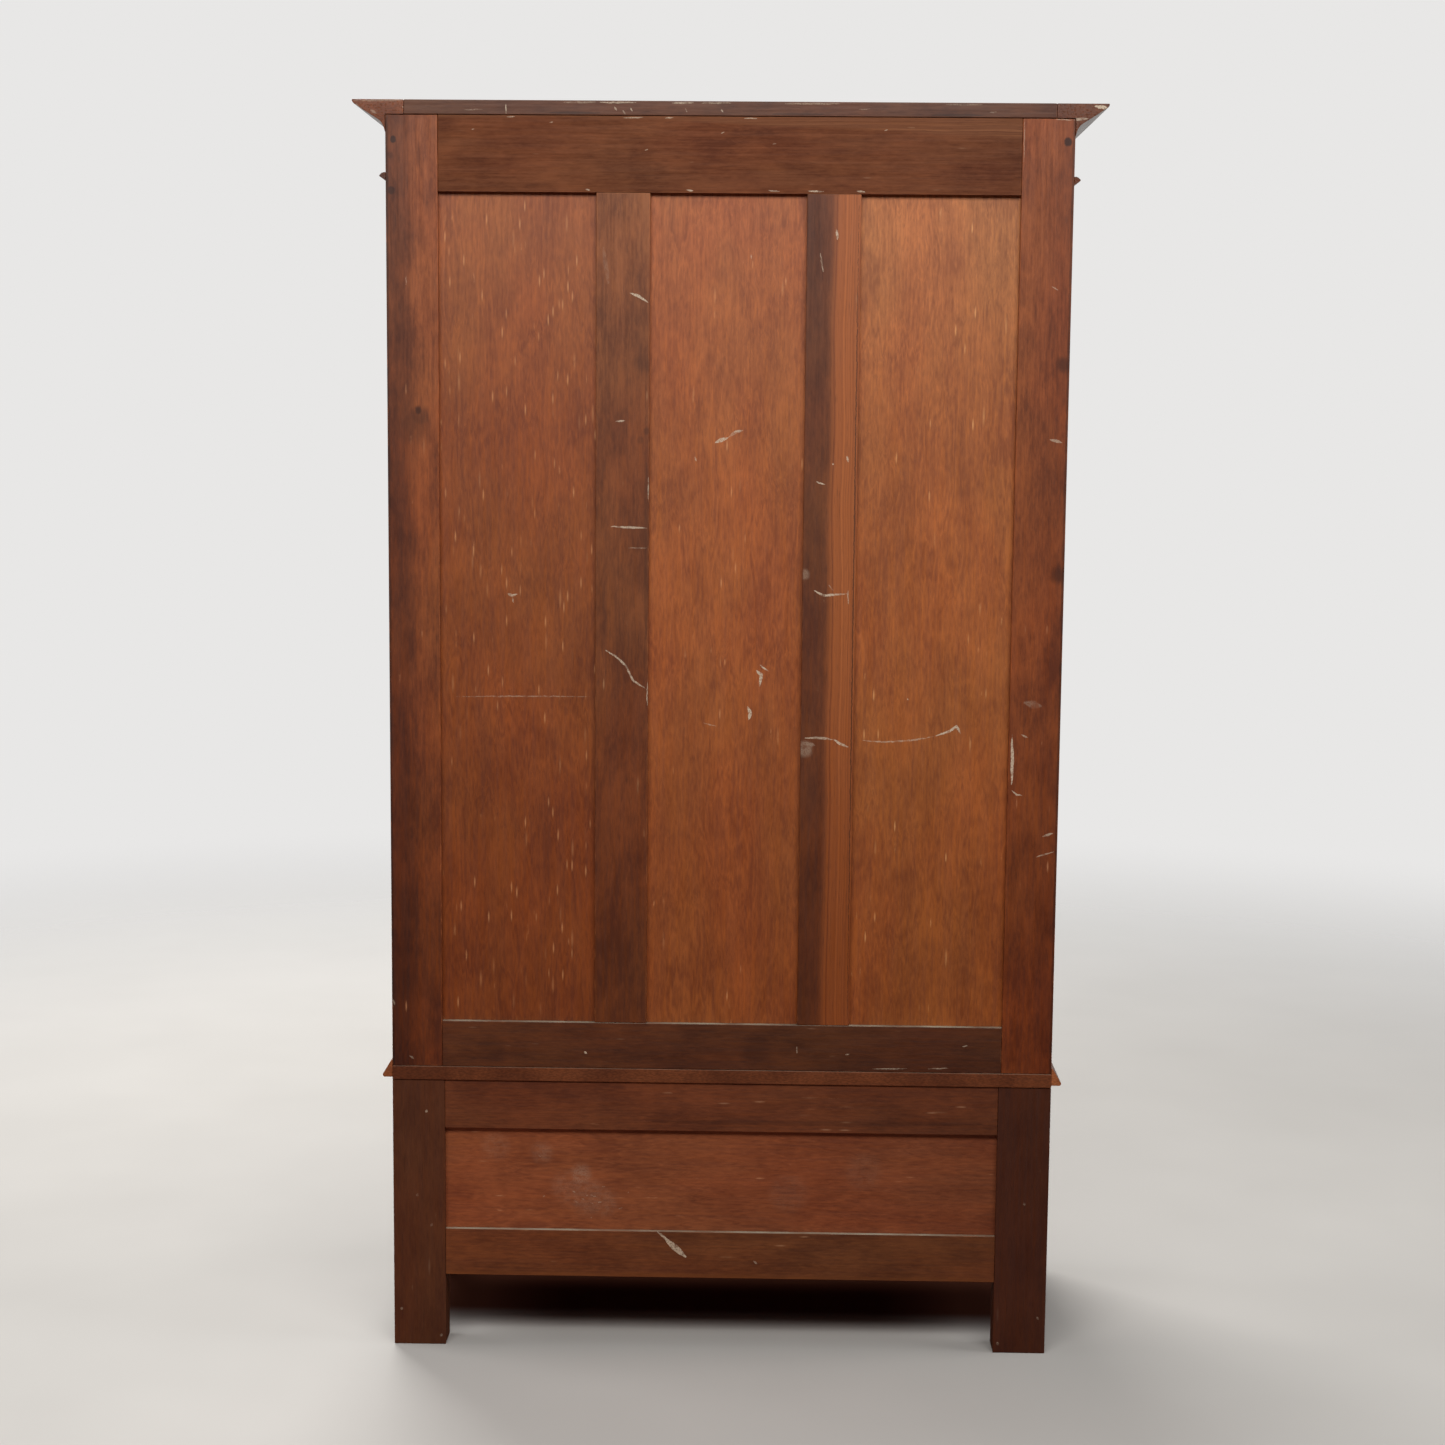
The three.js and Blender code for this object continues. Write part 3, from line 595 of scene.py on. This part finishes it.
def rear_muntin_left():
    pale = strokes(REAR,
        ([(-0.151, 1.627), (-0.152, 1.613)], 0.004, 0.8, 0.002),
        ([(-0.128, 1.594), (-0.133, 1.568)], 0.0028, 0.6),
        ([(-0.127, 1.276), (-0.139, 1.272)], 0.003, 0.8),
        ([(-0.170, 1.312), (-0.172, 1.304)], 0.004, 0.9),
        ([(-0.150, 1.302), (-0.151, 1.300)], 0.003, 0.9),
        ([(-0.126, 1.122), (-0.140, 1.115), (-0.175, 1.118)], 0.0026, 0.8),
        ([(-0.147, 1.130), (-0.153, 1.122)], 0.002, 0.5),
        ([(-0.174, 1.123), (-0.175, 1.103)], 0.002, 0.5),
        ([(-0.114, 0.911), (-0.140, 0.911), (-0.155, 0.909)], 0.003, 0.6),
        ([(-0.156, 0.910), (-0.166, 0.903), (-0.178, 0.898)], 0.003, 0.85),
        ([(-0.116, 0.903), (-0.130, 0.900)], 0.008, 0.3, 0.004))
    pale += spots(REAR, (-0.112, 1.145, 0.003, 0.25, 0.006), (-0.116, 0.895, 0.006, 0.3, 0.008))
    edge = strokes(REAR, ([(-0.1815, 1.66), (-0.1822, 0.50)], 0.0018, 0.6, 0.002))
    sapwood = two_tone(-0.151, -0.145, tones(179, 100, 51, 0.30))
    return member((120, 64, 32), 0.30, recolour=sapwood, pale=pale, stains=edge)


def base_rear_top_rail():
    stains = strokes(BASE_REAR, ([(-0.38, 0.345), (0.1, 0.343)], 0.006, 0.25, 0.01))
    return member((122, 65, 35), 0.32, stains=stains, recolour=base_side((0.80, 0.80, 0.78), 0.2))


def base_rear_bottom_rail():
    gouge = strokes(BASE_REAR,
        ([(0.093, 0.178), (0.068, 0.156)], 0.005, 0.8),
        ([(0.080, 0.166), (0.050, 0.139)], 0.015, 1.0),
        ([(-0.05, 0.135), (-0.055, 0.130)], 0.004, 0.4))
    recolour = chain(ochre_lower_edge, base_side((0.78, 0.78, 0.76)))
    return member((128, 71, 37), 0.32, pale=gouge, recolour=recolour)


def leg(tone, side, *own_nicks):
    nicks = ((0.446, 0.225, 0.2), (0.470, 0.052, 0.3), (0.412, 0.012, 0.4), *own_nicks)
    rows = [([(side * x, z), (side * (x - 0.002), z + 0.004)], 0.004, strength, 0.003)
            for x, z, strength in nicks]
    return member(tone, 0.22, pale=strokes(LEG_REAR, *rows))


def leg_rear_left():
    return leg((80, 37, 17), -1)


def leg_rear_right():
    return leg((99, 54, 29), 1, (0.432, 0.352, 0.5), (0.425, 0.18, 0.15))


def top_board():
    worn = ((0.231, 0.045, 0.3), (0.180, 0.050, 0.55), (0.080, 0.030, 0.6), (0.040, 0.042, 0.4),
            (-0.077, 0.077, 0.3), (-0.30, 0.05, 0.2))
    nicks = ((0.160, 1.7915), (0.148, 1.7865), (0.138, 1.7905), (0.062, 1.790), (0.012, 1.7895))
    scores = ((0.37, 1.786, 0.03), (-0.18, 1.790, 0.015), (-0.36, 1.787, 0.010))
    rows = [([(0.311, 1.795), (0.311, 1.781)], 0.0022, 0.6)]
    rows += [([(x, 1.7972), (x - length, 1.7976)], 0.0030, strength, 0.0014) for x, length, strength in worn]
    rows += [([(x, z), (x - 0.003, z - 0.005)], 0.0024, 0.55) for x, z in nicks]
    rows += [([(x, z), (x - length, z + 0.001)], 0.0016, 0.25) for x, z, length in scores]
    stains = [([(x, 1.783), (x - 0.07, 1.783)], 0.004, 0.4, 0.004) for x in (0.25, -0.06, -0.28)]
    return member((100, 58, 36), 0.3, pale=strokes(TOP_REAR, *rows), stains=strokes(TOP_REAR, *stains))


MEMBERS = {look.__name__: look for look in (
    rear_stile_right, rear_stile_left, rear_top_rail, rear_bottom_rail, rear_muntin_right, rear_muntin_left,
    base_rear_top_rail, base_rear_bottom_rail, leg_rear_left, leg_rear_right, top_board)}


def base_panel_marks():
    """A scuffed place with faint smudges and short scratches round it."""
    smudges = ((0.195, 0.226, 0.016, 0.10), (0.225, 0.240, 0.012, 0.08), (0.172, 0.218, 0.010, 0.09),
               (0.205, 0.258, 0.004, 0.22), (0.262, 0.292, 0.004, 0.12), (0.33, 0.300, 0.010, 0.06),
               (-0.10, 0.235, 0.018, 0.04), (-0.21, 0.270, 0.016, 0.04))
    draw = random.Random(5)
    marks = spots(PLY_REAR, *[(*smudge, 0.018) for smudge in smudges])
    for _ in range(14):
        x, z = draw.gauss(0.190, 0.035), draw.gauss(0.228, 0.018)
        points = [(x, z), (x - draw.uniform(0.001, 0.006), z + draw.uniform(-0.003, 0.003))]
        marks += stroke(points, 0.0022, draw.uniform(0.2, 0.55), y=PLY_REAR)
    return marks + stroke([(0.268, 0.288), (0.264, 0.285)], 0.003, 0.4, y=PLY_REAR)


# The outer panels of the case are painted paler at the top: a painted sheen.
PANELS = {
    "rear_panel_left": dict(
        middle=(187, 112, 58), recolour=painted_top_sheen((0.90, 0.80, 0.72)),
        flecks=0.08, pith=(0.02, -0.11), seed=4,
        pale=strokes(PLY_REAR,
            ([(-0.196, 0.907), (-0.230, 0.905), (-0.270, 0.908), (-0.302, 0.914)], 0.0014, 0.5),
            ([(-0.302, 0.914), (-0.323, 0.922), (-0.333, 0.929), (-0.339, 0.918)], 0.0026, 0.85),
            ([(-0.262, 0.968), (-0.263, 0.966)], 0.003, 0.6))),
    "rear_panel_centre": dict(
        middle=(176, 97, 48), flecks=0.07, pith=(0.035, -0.13), seed=11,
        pale=strokes(PLY_REAR,
            ([(0.017, 1.329), (0.008, 1.333), (-0.002, 1.337)], 0.0045, 0.9),
            ([(-0.002, 1.337), (-0.013, 1.345), (-0.023, 1.347)], 0.0035, 0.9),
            ([(-0.050, 1.014), (-0.063, 1.005)], 0.003, 0.9),
            ([(-0.045, 1.006), (-0.052, 1.000), (-0.050, 0.983)], 0.0042, 1.0),
            ([(-0.033, 0.954), (-0.037, 0.945), (-0.035, 0.935)], 0.0042, 0.95),
            ([(0.030, 0.930), (0.012, 0.925)], 0.002, 0.4),
            ([(0.045, 1.309), (0.043, 1.303)], 0.003, 0.5),
            ([(-0.032, 1.592), (-0.032, 1.586)], 0.003, 0.8))),
    "rear_panel_right": dict(
        middle=(165, 89, 41), recolour=painted_top_sheen((0.86, 0.81, 0.74)),
        flecks=0.36, pith=(-0.2, -0.2), seed=7,
        pale=strokes(PLY_REAR,
            ([(0.312, 1.113), (0.305, 1.110), (0.297, 1.112)], 0.003, 0.8),
            ([(0.304, 1.108), (0.303, 1.100)], 0.003, 0.5),
            ([(0.386, 0.964), (0.290, 0.9655), (0.192, 0.966)], 0.0012, 0.28))),
    "base_rear_panel": dict(
        middle=(158, 86, 49), recolour=base_side((0.78, 0.78, 0.80)),
        flecks=0.03, pith=(0.02, -0.12), seed=19,
        pale=base_panel_marks()),
}


def panel_wood(name, middle, **look):
    """Plywood, with its grain upright in the case and level in the base."""
    in_base = name == "base_rear_panel"
    # Case panels get the painted sheen and shade, a little weaker.
    return wood(name, *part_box(name), tones(*middle, 0.28), axis=X if in_base else Z, finish=PLY, rings=85.0,
                sway=0.16, wear=0.0, sheen_and_shade=0.0 if in_base else 0.72, **look)


def dress_back():
    seed = 100
    for name in sorted(nodes):
        if slots[name] not in ("back_wood", "back_plywood"):
            continue
        seed += 1
        if slots[name] == "back_plywood":
            material = panel_wood(name, **PANELS[name])
        else:
            low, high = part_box(name)
            dust = 0.9 if "bottom_rail" in name else 0.3
            # Members of the case get the painted sheen and shade from top to foot.
            sheen_and_shade = 1.0 if low[Z] > CASE_FOOT else 0.0
            own = MEMBERS[name]()
            material = wood(name, low, high, **own, seed=seed, flecks=0.03, dust=dust, sheen_and_shade=sheen_and_shade)
        paint(nodes[name], material)


# Chips of the show wood, on the cut ends that face the back.
CHIPS = {
    "cornice_left": strokes(TOP_REAR,
        ([(-0.505, 1.7965), (-0.524, 1.7935)], 0.008, 0.9),
        ([(-0.466, 1.776), (-0.482, 1.7785), (-0.497, 1.7795)], 0.0035, 0.55),
        ([(-0.520, 1.7935), (-0.495, 1.771)], 0.0018, 0.5)),
    "cornice_right": strokes(TOP_REAR,
        ([(0.526, 1.7975), (0.470, 1.799), (0.435, 1.799)], 0.0022, 0.22),
        ([(0.456, 1.790), (0.449, 1.788)], 0.003, 0.4),
        ([(0.520, 1.7935), (0.495, 1.772)], 0.0022, 0.6),
        ([(0.500, 1.785), (0.492, 1.781)], 0.004, 0.3, 0.003)),
}


def dress_front():
    """The polished show wood, the glass, the bare drawer wood and the brass of the CAD nodes."""
    seed = 300
    polished = {"cornice": (102, 56, 34), "door": (116, 62, 36), "drawer_front": (120, 63, 36),
                "shelf": (120, 70, 44)}
    cut_ends = {"base_top_board": (134, 75, 44), "waist_moulding": (200, 122, 76),
                "cornice_left": (122, 68, 41), "cornice_right": (152, 84, 46)}
    glass = make_glass()
    brass = make_brass()
    for name in sorted(nodes):
        slot = slots[name]
        low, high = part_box(name)
        seed += 1
        if slot == "polished_wood":
            tone = next((t for start, t in polished.items() if name.startswith(start)), (108, 58, 34))
            ends = srgb(*cut_ends[name]) if name in cut_ends else None
            flat = name in ("waist_moulding", "frieze_bead") or name.startswith("cornice")
            inside = name.startswith("shelf") or name == "base_top_board"
            dust = 0.6 if name.startswith("cornice") else 0.25 if name == "base_top_board" else 0.1
            board = wood(name, low, high, tones(*tone, 0.34), finish=WAXED if inside else POLISH, seed=seed,
                         wear=0.0 if flat else 0.35, dust=dust, ends=ends, pale=CHIPS.get(name, ()))
            paint(nodes[name], board)
        elif slot == "bare_wood":
            colours = tones(176, 138, 98, 0.2)
            board = wood(name, low, high, colours, seed=seed, wear=0.2, dust=0.3, rings=210.0)
            paint(nodes[name], board)
        elif slot == "glass":
            paint(nodes[name], glass)
        elif slot == "brass":
            paint(nodes[name], brass)


def paint(piece, material):
    piece.data.materials.clear()
    piece.data.materials.append(material)


def make_glass():
    """A clear pane: it passes what is behind it, mirrors by Fresnel, and carries a little dust."""
    material, g = blank_material("pane_glass")
    place = g.place()
    smear = g.noise(g.stretch(place, (9.0, 9.0, 4.0)), detail=4.0)[0]
    clear = g.add("BsdfTransparent", {"Color": (0.93, 0.96, 0.945, 1)})
    mirror = g.add("BsdfGlossy", {"Color": (1, 1, 1, 1), "Roughness": 0.04})
    film = g.add("BsdfDiffuse", {"Color": (0.8, 0.8, 0.78, 1)})
    # Schlick's curve, the same on both faces of the pane.
    facing = g.add("LayerWeight", {"Blend": 0.5}).outputs["Facing"]
    sheen = g.times_plus(g.math("POWER", facing, 5.0), 0.9, 0.035)
    pane = g.mix(sheen, clear, mirror)
    haze = g.span(smear, 0.4, 0.8, 0.002, 0.010)
    dusty = g.mix(haze, pane, film)
    g.add("OutputMaterial", {"Surface": dusty.outputs[0]})
    return material


def make_brass():
    material, g, shader, _ = new_material("aged_brass")
    place = g.place()
    blotch = g.noise(place, 130.0, 4.0)[0]
    grit = g.noise(place, 900.0, 2.0)[0]
    tarnish = g.span(blotch, 0.42, 0.68)
    colour = g.blend(tarnish, srgb(186, 148, 82), srgb(112, 84, 46))
    rough = g.times_plus(tarnish, 0.22, g.times_plus(grit, 0.1, 0.18))
    bump = g.add("Bump", {"Height": grit, "Strength": 0.1, "Distance": 0.0003})
    g.feed(shader, {"Base Color": colour, "Roughness": rough, "Normal": bump.outputs[0], "Metallic": 1.0})
    return material


# ---- arrises of the CAD pieces

def soften(piece, width):
    """Rounds the arrises: the imported faces are joined first, then bevelled and shaded by area."""
    weld = piece.modifiers.new("join", "WELD")
    weld.merge_threshold = 0.00001
    bevel = piece.modifiers.new("arris", "BEVEL")
    bevel.width = width
    bevel.segments = 2
    bevel.limit_method = "ANGLE"
    bevel.angle_limit = math.radians(32)
    bevel.harden_normals = True
    shading = piece.modifiers.new("shading", "WEIGHTED_NORMAL")
    shading.keep_sharp = True
    piece.data.polygons.foreach_set("use_smooth", [True] * len(piece.data.polygons))


def soften_all():
    small, usual = 0.0004, 0.0011
    for name, piece in nodes.items():
        if "glass" in name:
            continue
        fine = name.startswith(("cornice", "frieze_bead", "waist_moulding", "hinge")) or "knob" in name
        soften(piece, small if fine else usual)


# ---- pieces that the CAD frame leaves out

def new_object(name, data):
    thing = bpy.data.objects.new(name, data)
    bpy.context.scene.collection.objects.link(thing)
    return thing


def add_piece(name, vertices, faces, body, material, smooth=False):
    mesh = bpy.data.meshes.new(name)
    mesh.from_pydata(vertices, [], faces)
    shape = bmesh.new()
    shape.from_mesh(mesh)
    bmesh.ops.recalc_face_normals(shape, faces=shape.faces)
    shape.to_mesh(mesh)
    shape.free()
    piece = new_object(name, mesh)
    paint(piece, material)
    if smooth:
        mesh.polygons.foreach_set("use_smooth", [True] * len(mesh.polygons))
        split = piece.modifiers.new("creases", "EDGE_SPLIT")
        split.split_angle = math.radians(35)
    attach(piece, body)
    return piece


def mitred_ring(name, opening, profile, to_frame, body, material):
    """A moulding round an opening (a0, a1, b0, b1). The profile holds (inset, depth) points."""
    a0, a1, b0, b1 = opening
    corners = [(a0, b0, 1, 1), (a1, b0, -1, 1), (a1, b1, -1, -1), (a0, b1, 1, -1)]
    vertices = [to_frame(a + da * inset, b + db * inset, depth)
                for a, b, da, db in corners for inset, depth in profile]
    count = len(profile)
    faces = []
    for corner in range(4):
        for i in range(count):
            here, there = corner * count, (corner + 1) % 4 * count
            after = (i + 1) % count
            faces.append((here + i, here + after, there + after, there + i))
    return add_piece(name, vertices, faces, body, material, smooth=True)


def quarter_round(width, height, step=0.001, turns=6):
    """The section of a glazing bead: a fillet at its foot and a quarter round above it."""
    arc = [(math.pi / 2 * i / turns) for i in range(turns + 1)]
    curve = [((width - step) * math.cos(t), step + (height - step) * math.sin(t)) for t in arc]
    return [(0.0, 0.0), (width, 0.0), (width, step)] + curve


def turned(name, origin, axis, profile, body, material, sides=20):
    """A turned piece: (radius, along) points spun about an axis through the origin."""
    across = [i for i in range(3) if i != axis]
    vertices = []
    for radius, along in profile:
        for i in range(sides):
            angle = 2 * math.pi * i / sides
            point = list(origin)
            point[axis] += along
            point[across[0]] += radius * math.cos(angle)
            point[across[1]] += radius * math.sin(angle)
            vertices.append(tuple(point))
    faces = [tuple(range(sides)), tuple(range(len(vertices) - sides, len(vertices)))]
    for ring in range(len(profile) - 1):
        for i in range(sides):
            j = (i + 1) % sides
            here, there = ring * sides, (ring + 1) * sides
            faces.append((here + i, here + j, there + j, there + i))
    return add_piece(name, vertices, faces, body, material, smooth=True)


def bead_wood(name, colours, axis, seed):
    """Polished wood for a moulding whose parts lie anywhere on the cabinet."""
    anywhere = ((-1, -1, -1), (1, 1, 1))
    return wood(name, *anywhere, colours, finish=POLISH, axis=axis, seed=seed, wear=0, dust=0.4)


def add_beads():
    """Mitred beads hold each pane on both faces."""
    section = quarter_round(width=0.0075, height=0.007)
    for side in ("left", "right"):
        door = f"door_{side}"
        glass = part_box(f"{door}_glass")
        stiles = [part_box(f"{door}_hinge_stile"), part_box(f"{door}_meeting_stile")]
        stiles.sort(key=lambda box: box[0][X])
        rails = (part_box(f"{door}_bottom_rail")[1][Z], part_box(f"{door}_top_rail")[0][Z])
        opening = (stiles[0][1][X], stiles[1][0][X], *rails)
        seed = 500 if side == "left" else 520
        bead = bead_wood(f"bead_{side}", tones(100, 49, 29, 0.3), Z, seed)
        front, back = glass[0][Y], glass[1][Y]
        mitred_ring(f"{door}_bead_front", opening, section, lambda a, b, d: (a, front - d, b), door, bead)
        mitred_ring(f"{door}_bead_back", opening, section, lambda a, b, d: (a, back + d, b), door, bead)
        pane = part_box(f"side_glass_{side}")
        sign = 1 if side == "right" else -1
        outer, inner = (pane[1][X], pane[0][X]) if sign > 0 else (pane[0][X], pane[1][X])
        frame_y = (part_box(f"front_post_{side}")[1][Y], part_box(f"rear_stile_{side}")[0][Y])
        opening = (*frame_y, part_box(f"side_bottom_rail_{side}")[1][Z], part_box(f"side_top_rail_{side}")[0][Z])
        for place, face, way in (("outer", outer, sign), ("inner", inner, -sign)):
            mitred_ring(f"side_bead_{place}_{side}", opening, section,
                        lambda a, b, d: (face + way * d, a, b), "case", bead)


def add_pins(brass):
    """Four turned pins under each shelf: two in the front posts and two in the rear stiles."""
    tiny, collar, shank, length = 0.0001, 0.0038, 0.0024, 0.0105
    profile = [(tiny, 0.0), (collar, 0.0), (collar, 0.001), (shank, 0.0013), (shank, 0.0095),
               (0.0017, 0.0103), (tiny, length)]
    for shelf in ("lower", "middle", "upper"):
        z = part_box(f"shelf_{shelf}")[0][Z] - shank
        for side, sign in (("left", -1), ("right", 1)):
            inward = [(radius, -sign * along) for radius, along in profile]
            inner = 0 if sign > 0 else 1
            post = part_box(f"front_post_{side}")
            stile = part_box(f"rear_stile_{side}")
            places = {"front": (post[inner][X], post[1][Y] - 0.008),
                      "rear": (stile[inner][X], stile[0][Y] + 0.006)}
            for place, (face, depth) in places.items():
                name = f"pin_{shelf}_{place}_{side}"
                turned(name, (face, depth, z), X, inward, "case", brass)


def add_finials(brass):
    """A ball on each end of each hinge pin."""
    tiny, ball, pin_line = 0.0001, 0.0033, 0.439
    turns = [math.pi * i / 10 for i in range(2, 11)]
    curve = [(max(ball * math.sin(t), tiny), 0.0048 - ball * math.cos(t)) for t in turns]
    profile = [(tiny, 0.0), (0.0034, 0.0), (0.0034, 0.0009), (0.0019, 0.0014)] + curve
    for side, sign in (("left", -1), ("right", 1)):
        for level in ("lower", "upper"):
            low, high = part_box(f"hinge_{side}_{level}")
            for end, z, up in (("top", high[Z], 1), ("foot", low[Z], -1)):
                placed = [(radius, up * along) for radius, along in profile]
                origin = (sign * pin_line, low[Y] + 0.004, z)
                turned(f"hinge_{side}_{level}_{end}", origin, Z, placed, "case", brass)


def add_escutcheon(name, x, y, z, body, brass, dark):
    """An oval keyhole plate, pierced, over a near-black disc: painted shade where the keyhole's hole would be
    dark.
    """
    sides = 40
    half_wide, half_tall, thick = 0.0095, 0.0155, 0.0011
    eye, slit, shoulder = 0.0026, 0.0014, -0.2
    angles = [2 * math.pi * i / sides for i in range(sides)]

    def outline(angle):
        return half_wide * math.cos(angle), half_tall * math.sin(angle)

    def keyhole(angle):
        """A round eye whose lower part draws out into a slit."""
        rise = math.sin(angle)
        if rise > shoulder:
            return eye * math.cos(angle), eye * rise + 0.002
        return slit * math.cos(angle), 0.0017 + 0.0075 * (rise - shoulder) / 0.8
    rings = []
    for share, height in ((1.0, 0.0), (1.0, thick * 0.5), (0.9, thick)):
        rings.append([(share * px, share * pz, height) for px, pz in map(outline, angles)])
    for height in (thick, 0.0):
        rings.append([(*keyhole(angle), height) for angle in angles])
    vertices = [(x + px, y - depth, z + pz) for ring in rings for px, pz, depth in ring]
    faces = []
    for ring in range(len(rings)):
        here, there = ring * sides, (ring + 1) % len(rings) * sides
        for i in range(sides):
            j = (i + 1) % sides
            faces.append((here + i, here + j, there + j, there + i))
    add_piece(name, vertices, faces, body, brass, smooth=True)
    # A thin near-black disc under the plate carries painted shade for the hole behind the keyhole.
    hole = [(0.0001, 0.0), (0.0055, 0.0), (0.0055, -0.00025), (0.0001, -0.00025)]
    turned(f"{name}_recess", (x, y, z), Y, hole, body, dark, sides=24)


def add_cock_bead():
    """A thin half-round bead round the drawer front."""
    low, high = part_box("drawer_front")
    bead = bead_wood("cock_bead", tones(78, 38, 23, 0.25), X, 540)
    wide, proud, sunk = 0.0032, 0.0016, 0.0004
    turns = [math.pi * i / 8 for i in range(9)]
    curve = [(wide / 2 - wide / 2 * math.cos(t), proud * math.sin(t)) for t in turns]
    section = [(0.0, -sunk)] + curve + [(wide, -sunk)]
    opening = (low[X] + sunk, high[X] - sunk, low[Z] + sunk, high[Z] - sunk)
    mitred_ring("drawer_cock_bead", opening, section, lambda a, b, d: (a, low[Y] - d, b), "drawer", bead)


def add_details():
    brass = make_brass()
    # Near-black material for the keyholes: painted shade standing in for the dark inside the hole.
    keyhole_shade, g, shader, _ = new_material("keyhole_painted_shade")
    place = g.place()
    tint = g.ramp(g.noise(place, 300.0)[0], (0.3, srgb(14, 9, 7)), (0.7, srgb(26, 17, 12)))
    g.feed(shader, {"Base Color": tint, "Roughness": 0.9})
    add_beads()
    add_pins(brass)
    add_finials(brass)
    add_cock_bead()
    drop = 0.045  # from the knob, or the drawer front's upper edge, down to the keyhole
    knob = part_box("door_knob")
    middle, stile_face = (knob[0][X] + knob[1][X]) / 2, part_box("door_right_meeting_stile")[0][Y]
    add_escutcheon("door_escutcheon", middle, stile_face, knob[0][Z] - drop, "door_right", brass, keyhole_shade)
    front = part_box("drawer_front")
    add_escutcheon("drawer_escutcheon", 0.0, front[0][Y], front[1][Z] - drop, "drawer", brass, keyhole_shade)


# ---- stage

def make_stage():
    """A pale floor that fades out into the backdrop before its far edge."""
    floor = new_object("floor", bpy.data.meshes.new("floor"))
    reach = 12.0
    corners = [(-reach, -reach, 0), (reach, -reach, 0), (reach, reach, 0), (-reach, reach, 0)]
    floor.data.from_pydata(corners, [], [(0, 1, 2, 3)])
    material, g, shader, output = new_material("pale_floor")
    place = g.place()
    tint = g.ramp(g.noise(place, 3.0)[0], (0.3, srgb(208, 205, 201)), (0.7, srgb(212, 209, 205)))
    shader.inputs["Roughness"].default_value = 0.7
    # Light that bounces off the floor is that of a darker, warmer floor, as in the reference view.
    path = g.add("LightPath")
    # Under the cabinet the floor is painted darker and less glossy: a painted shadow.
    x, y, _ = g.split(place)
    between = g.times(g.span(y, 0.17, 0.06), g.span(y, -0.22, -0.09))
    under = g.times(g.span(g.math("ABSOLUTE", x), 0.475, 0.44), between)
    tint = g.blend(under, tint, srgb(76, 44, 34))
    g.put(shader.inputs["Specular IOR Level"], g.times_plus(under, -0.25, 0.25))
    shown = g.blend(path.outputs["Is Camera Ray"], srgb(128, 84, 62), tint)
    g.put(shader.inputs["Base Color"], shown)
    clear = g.add("BsdfTransparent")
    fade = g.span(g.vector("LENGTH", place), 1.3, 4.6)
    both = g.mix(fade, shader, clear)
    g.put(output.inputs["Surface"], both.outputs[0])
    paint(floor, material)


def area_light(name, place, aim, width, height, power, tint=(1, 1, 1)):
    lamp = bpy.data.lights.new(name, "AREA")
    lamp.shape = "RECTANGLE"
    lamp.size, lamp.size_y = width, height
    lamp.energy = power
    lamp.color = tint
    light = new_object(name, lamp)
    light.location = place
    light.rotation_mode = "QUATERNION"
    light.rotation_quaternion = (Vector(aim) - Vector(place)).to_track_quat("-Z", "Y")


def make_lights():
    daylight = (1.0, 0.985, 0.96)
    area_light("key", (-0.15, REAR + 2.5, 3.05), (0, REAR, 1.25), 4.4, 1.1, 86, daylight)
    area_light("front_key", (1.2, -3.0, 3.1), (0, -0.2, 1.0), 2.6, 1.6, 150, daylight)
    area_light("side", (4.0, -0.4, 2.6), (0, 0, 0.9), 2.0, 1.6, 46)
    area_light("other_side", (-4.0, 0.4, 2.6), (0, 0, 0.9), 2.0, 1.6, 46)
    world = bpy.data.worlds.new("studio")
    bpy.context.scene.world = world
    world.use_nodes = True
    g = Graph(world.node_tree)
    world.node_tree.nodes.clear()
    seen = g.add("Background", {"Color": srgb(232, 231, 230), "Strength": 1.0})
    fill = g.add("Background", {"Color": (1.0, 0.99, 0.975, 1), "Strength": 0.05})
    path = g.add("LightPath")
    # Behind the doors' side stands a white wall, as in the reference view: grazing faces mirror it.
    ahead = g.times(g.split(g.add("TexCoord").outputs["Generated"])[Y], -1.0)
    bright = g.span(ahead, 0.84, 0.95, 0.05, 0.7)
    wall = g.add("Background", {"Color": srgb(225, 223, 220), "Strength": bright})
    glossy, camera_ray = path.outputs["Is Glossy Ray"], path.outputs["Is Camera Ray"]
    lit = g.mix(glossy, fill, wall)
    both = g.mix(camera_ray, lit, seen)
    g.add("OutputWorld", {"Surface": both.outputs[0]})
    bpy.context.scene.view_settings.view_transform = "Standard"


def make_camera():
    """Stands behind the cabinet at chest height and looks down a little."""
    data = bpy.data.cameras.new("camera")
    data.sensor_width = 36.0
    data.lens = 59.9
    camera = new_object("camera", data)
    camera.location = (-0.061, REAR + 3.4155, 1.3455)
    tilt, roll, turn = 83.094, -0.499, -178.875
    camera.rotation_euler = Euler([math.radians(angle) for angle in (tilt, roll, turn)])
    bpy.context.scene.camera = camera


make_camera()
make_lights()
make_stage()
dress_back()
dress_front()
soften_all()
add_details()
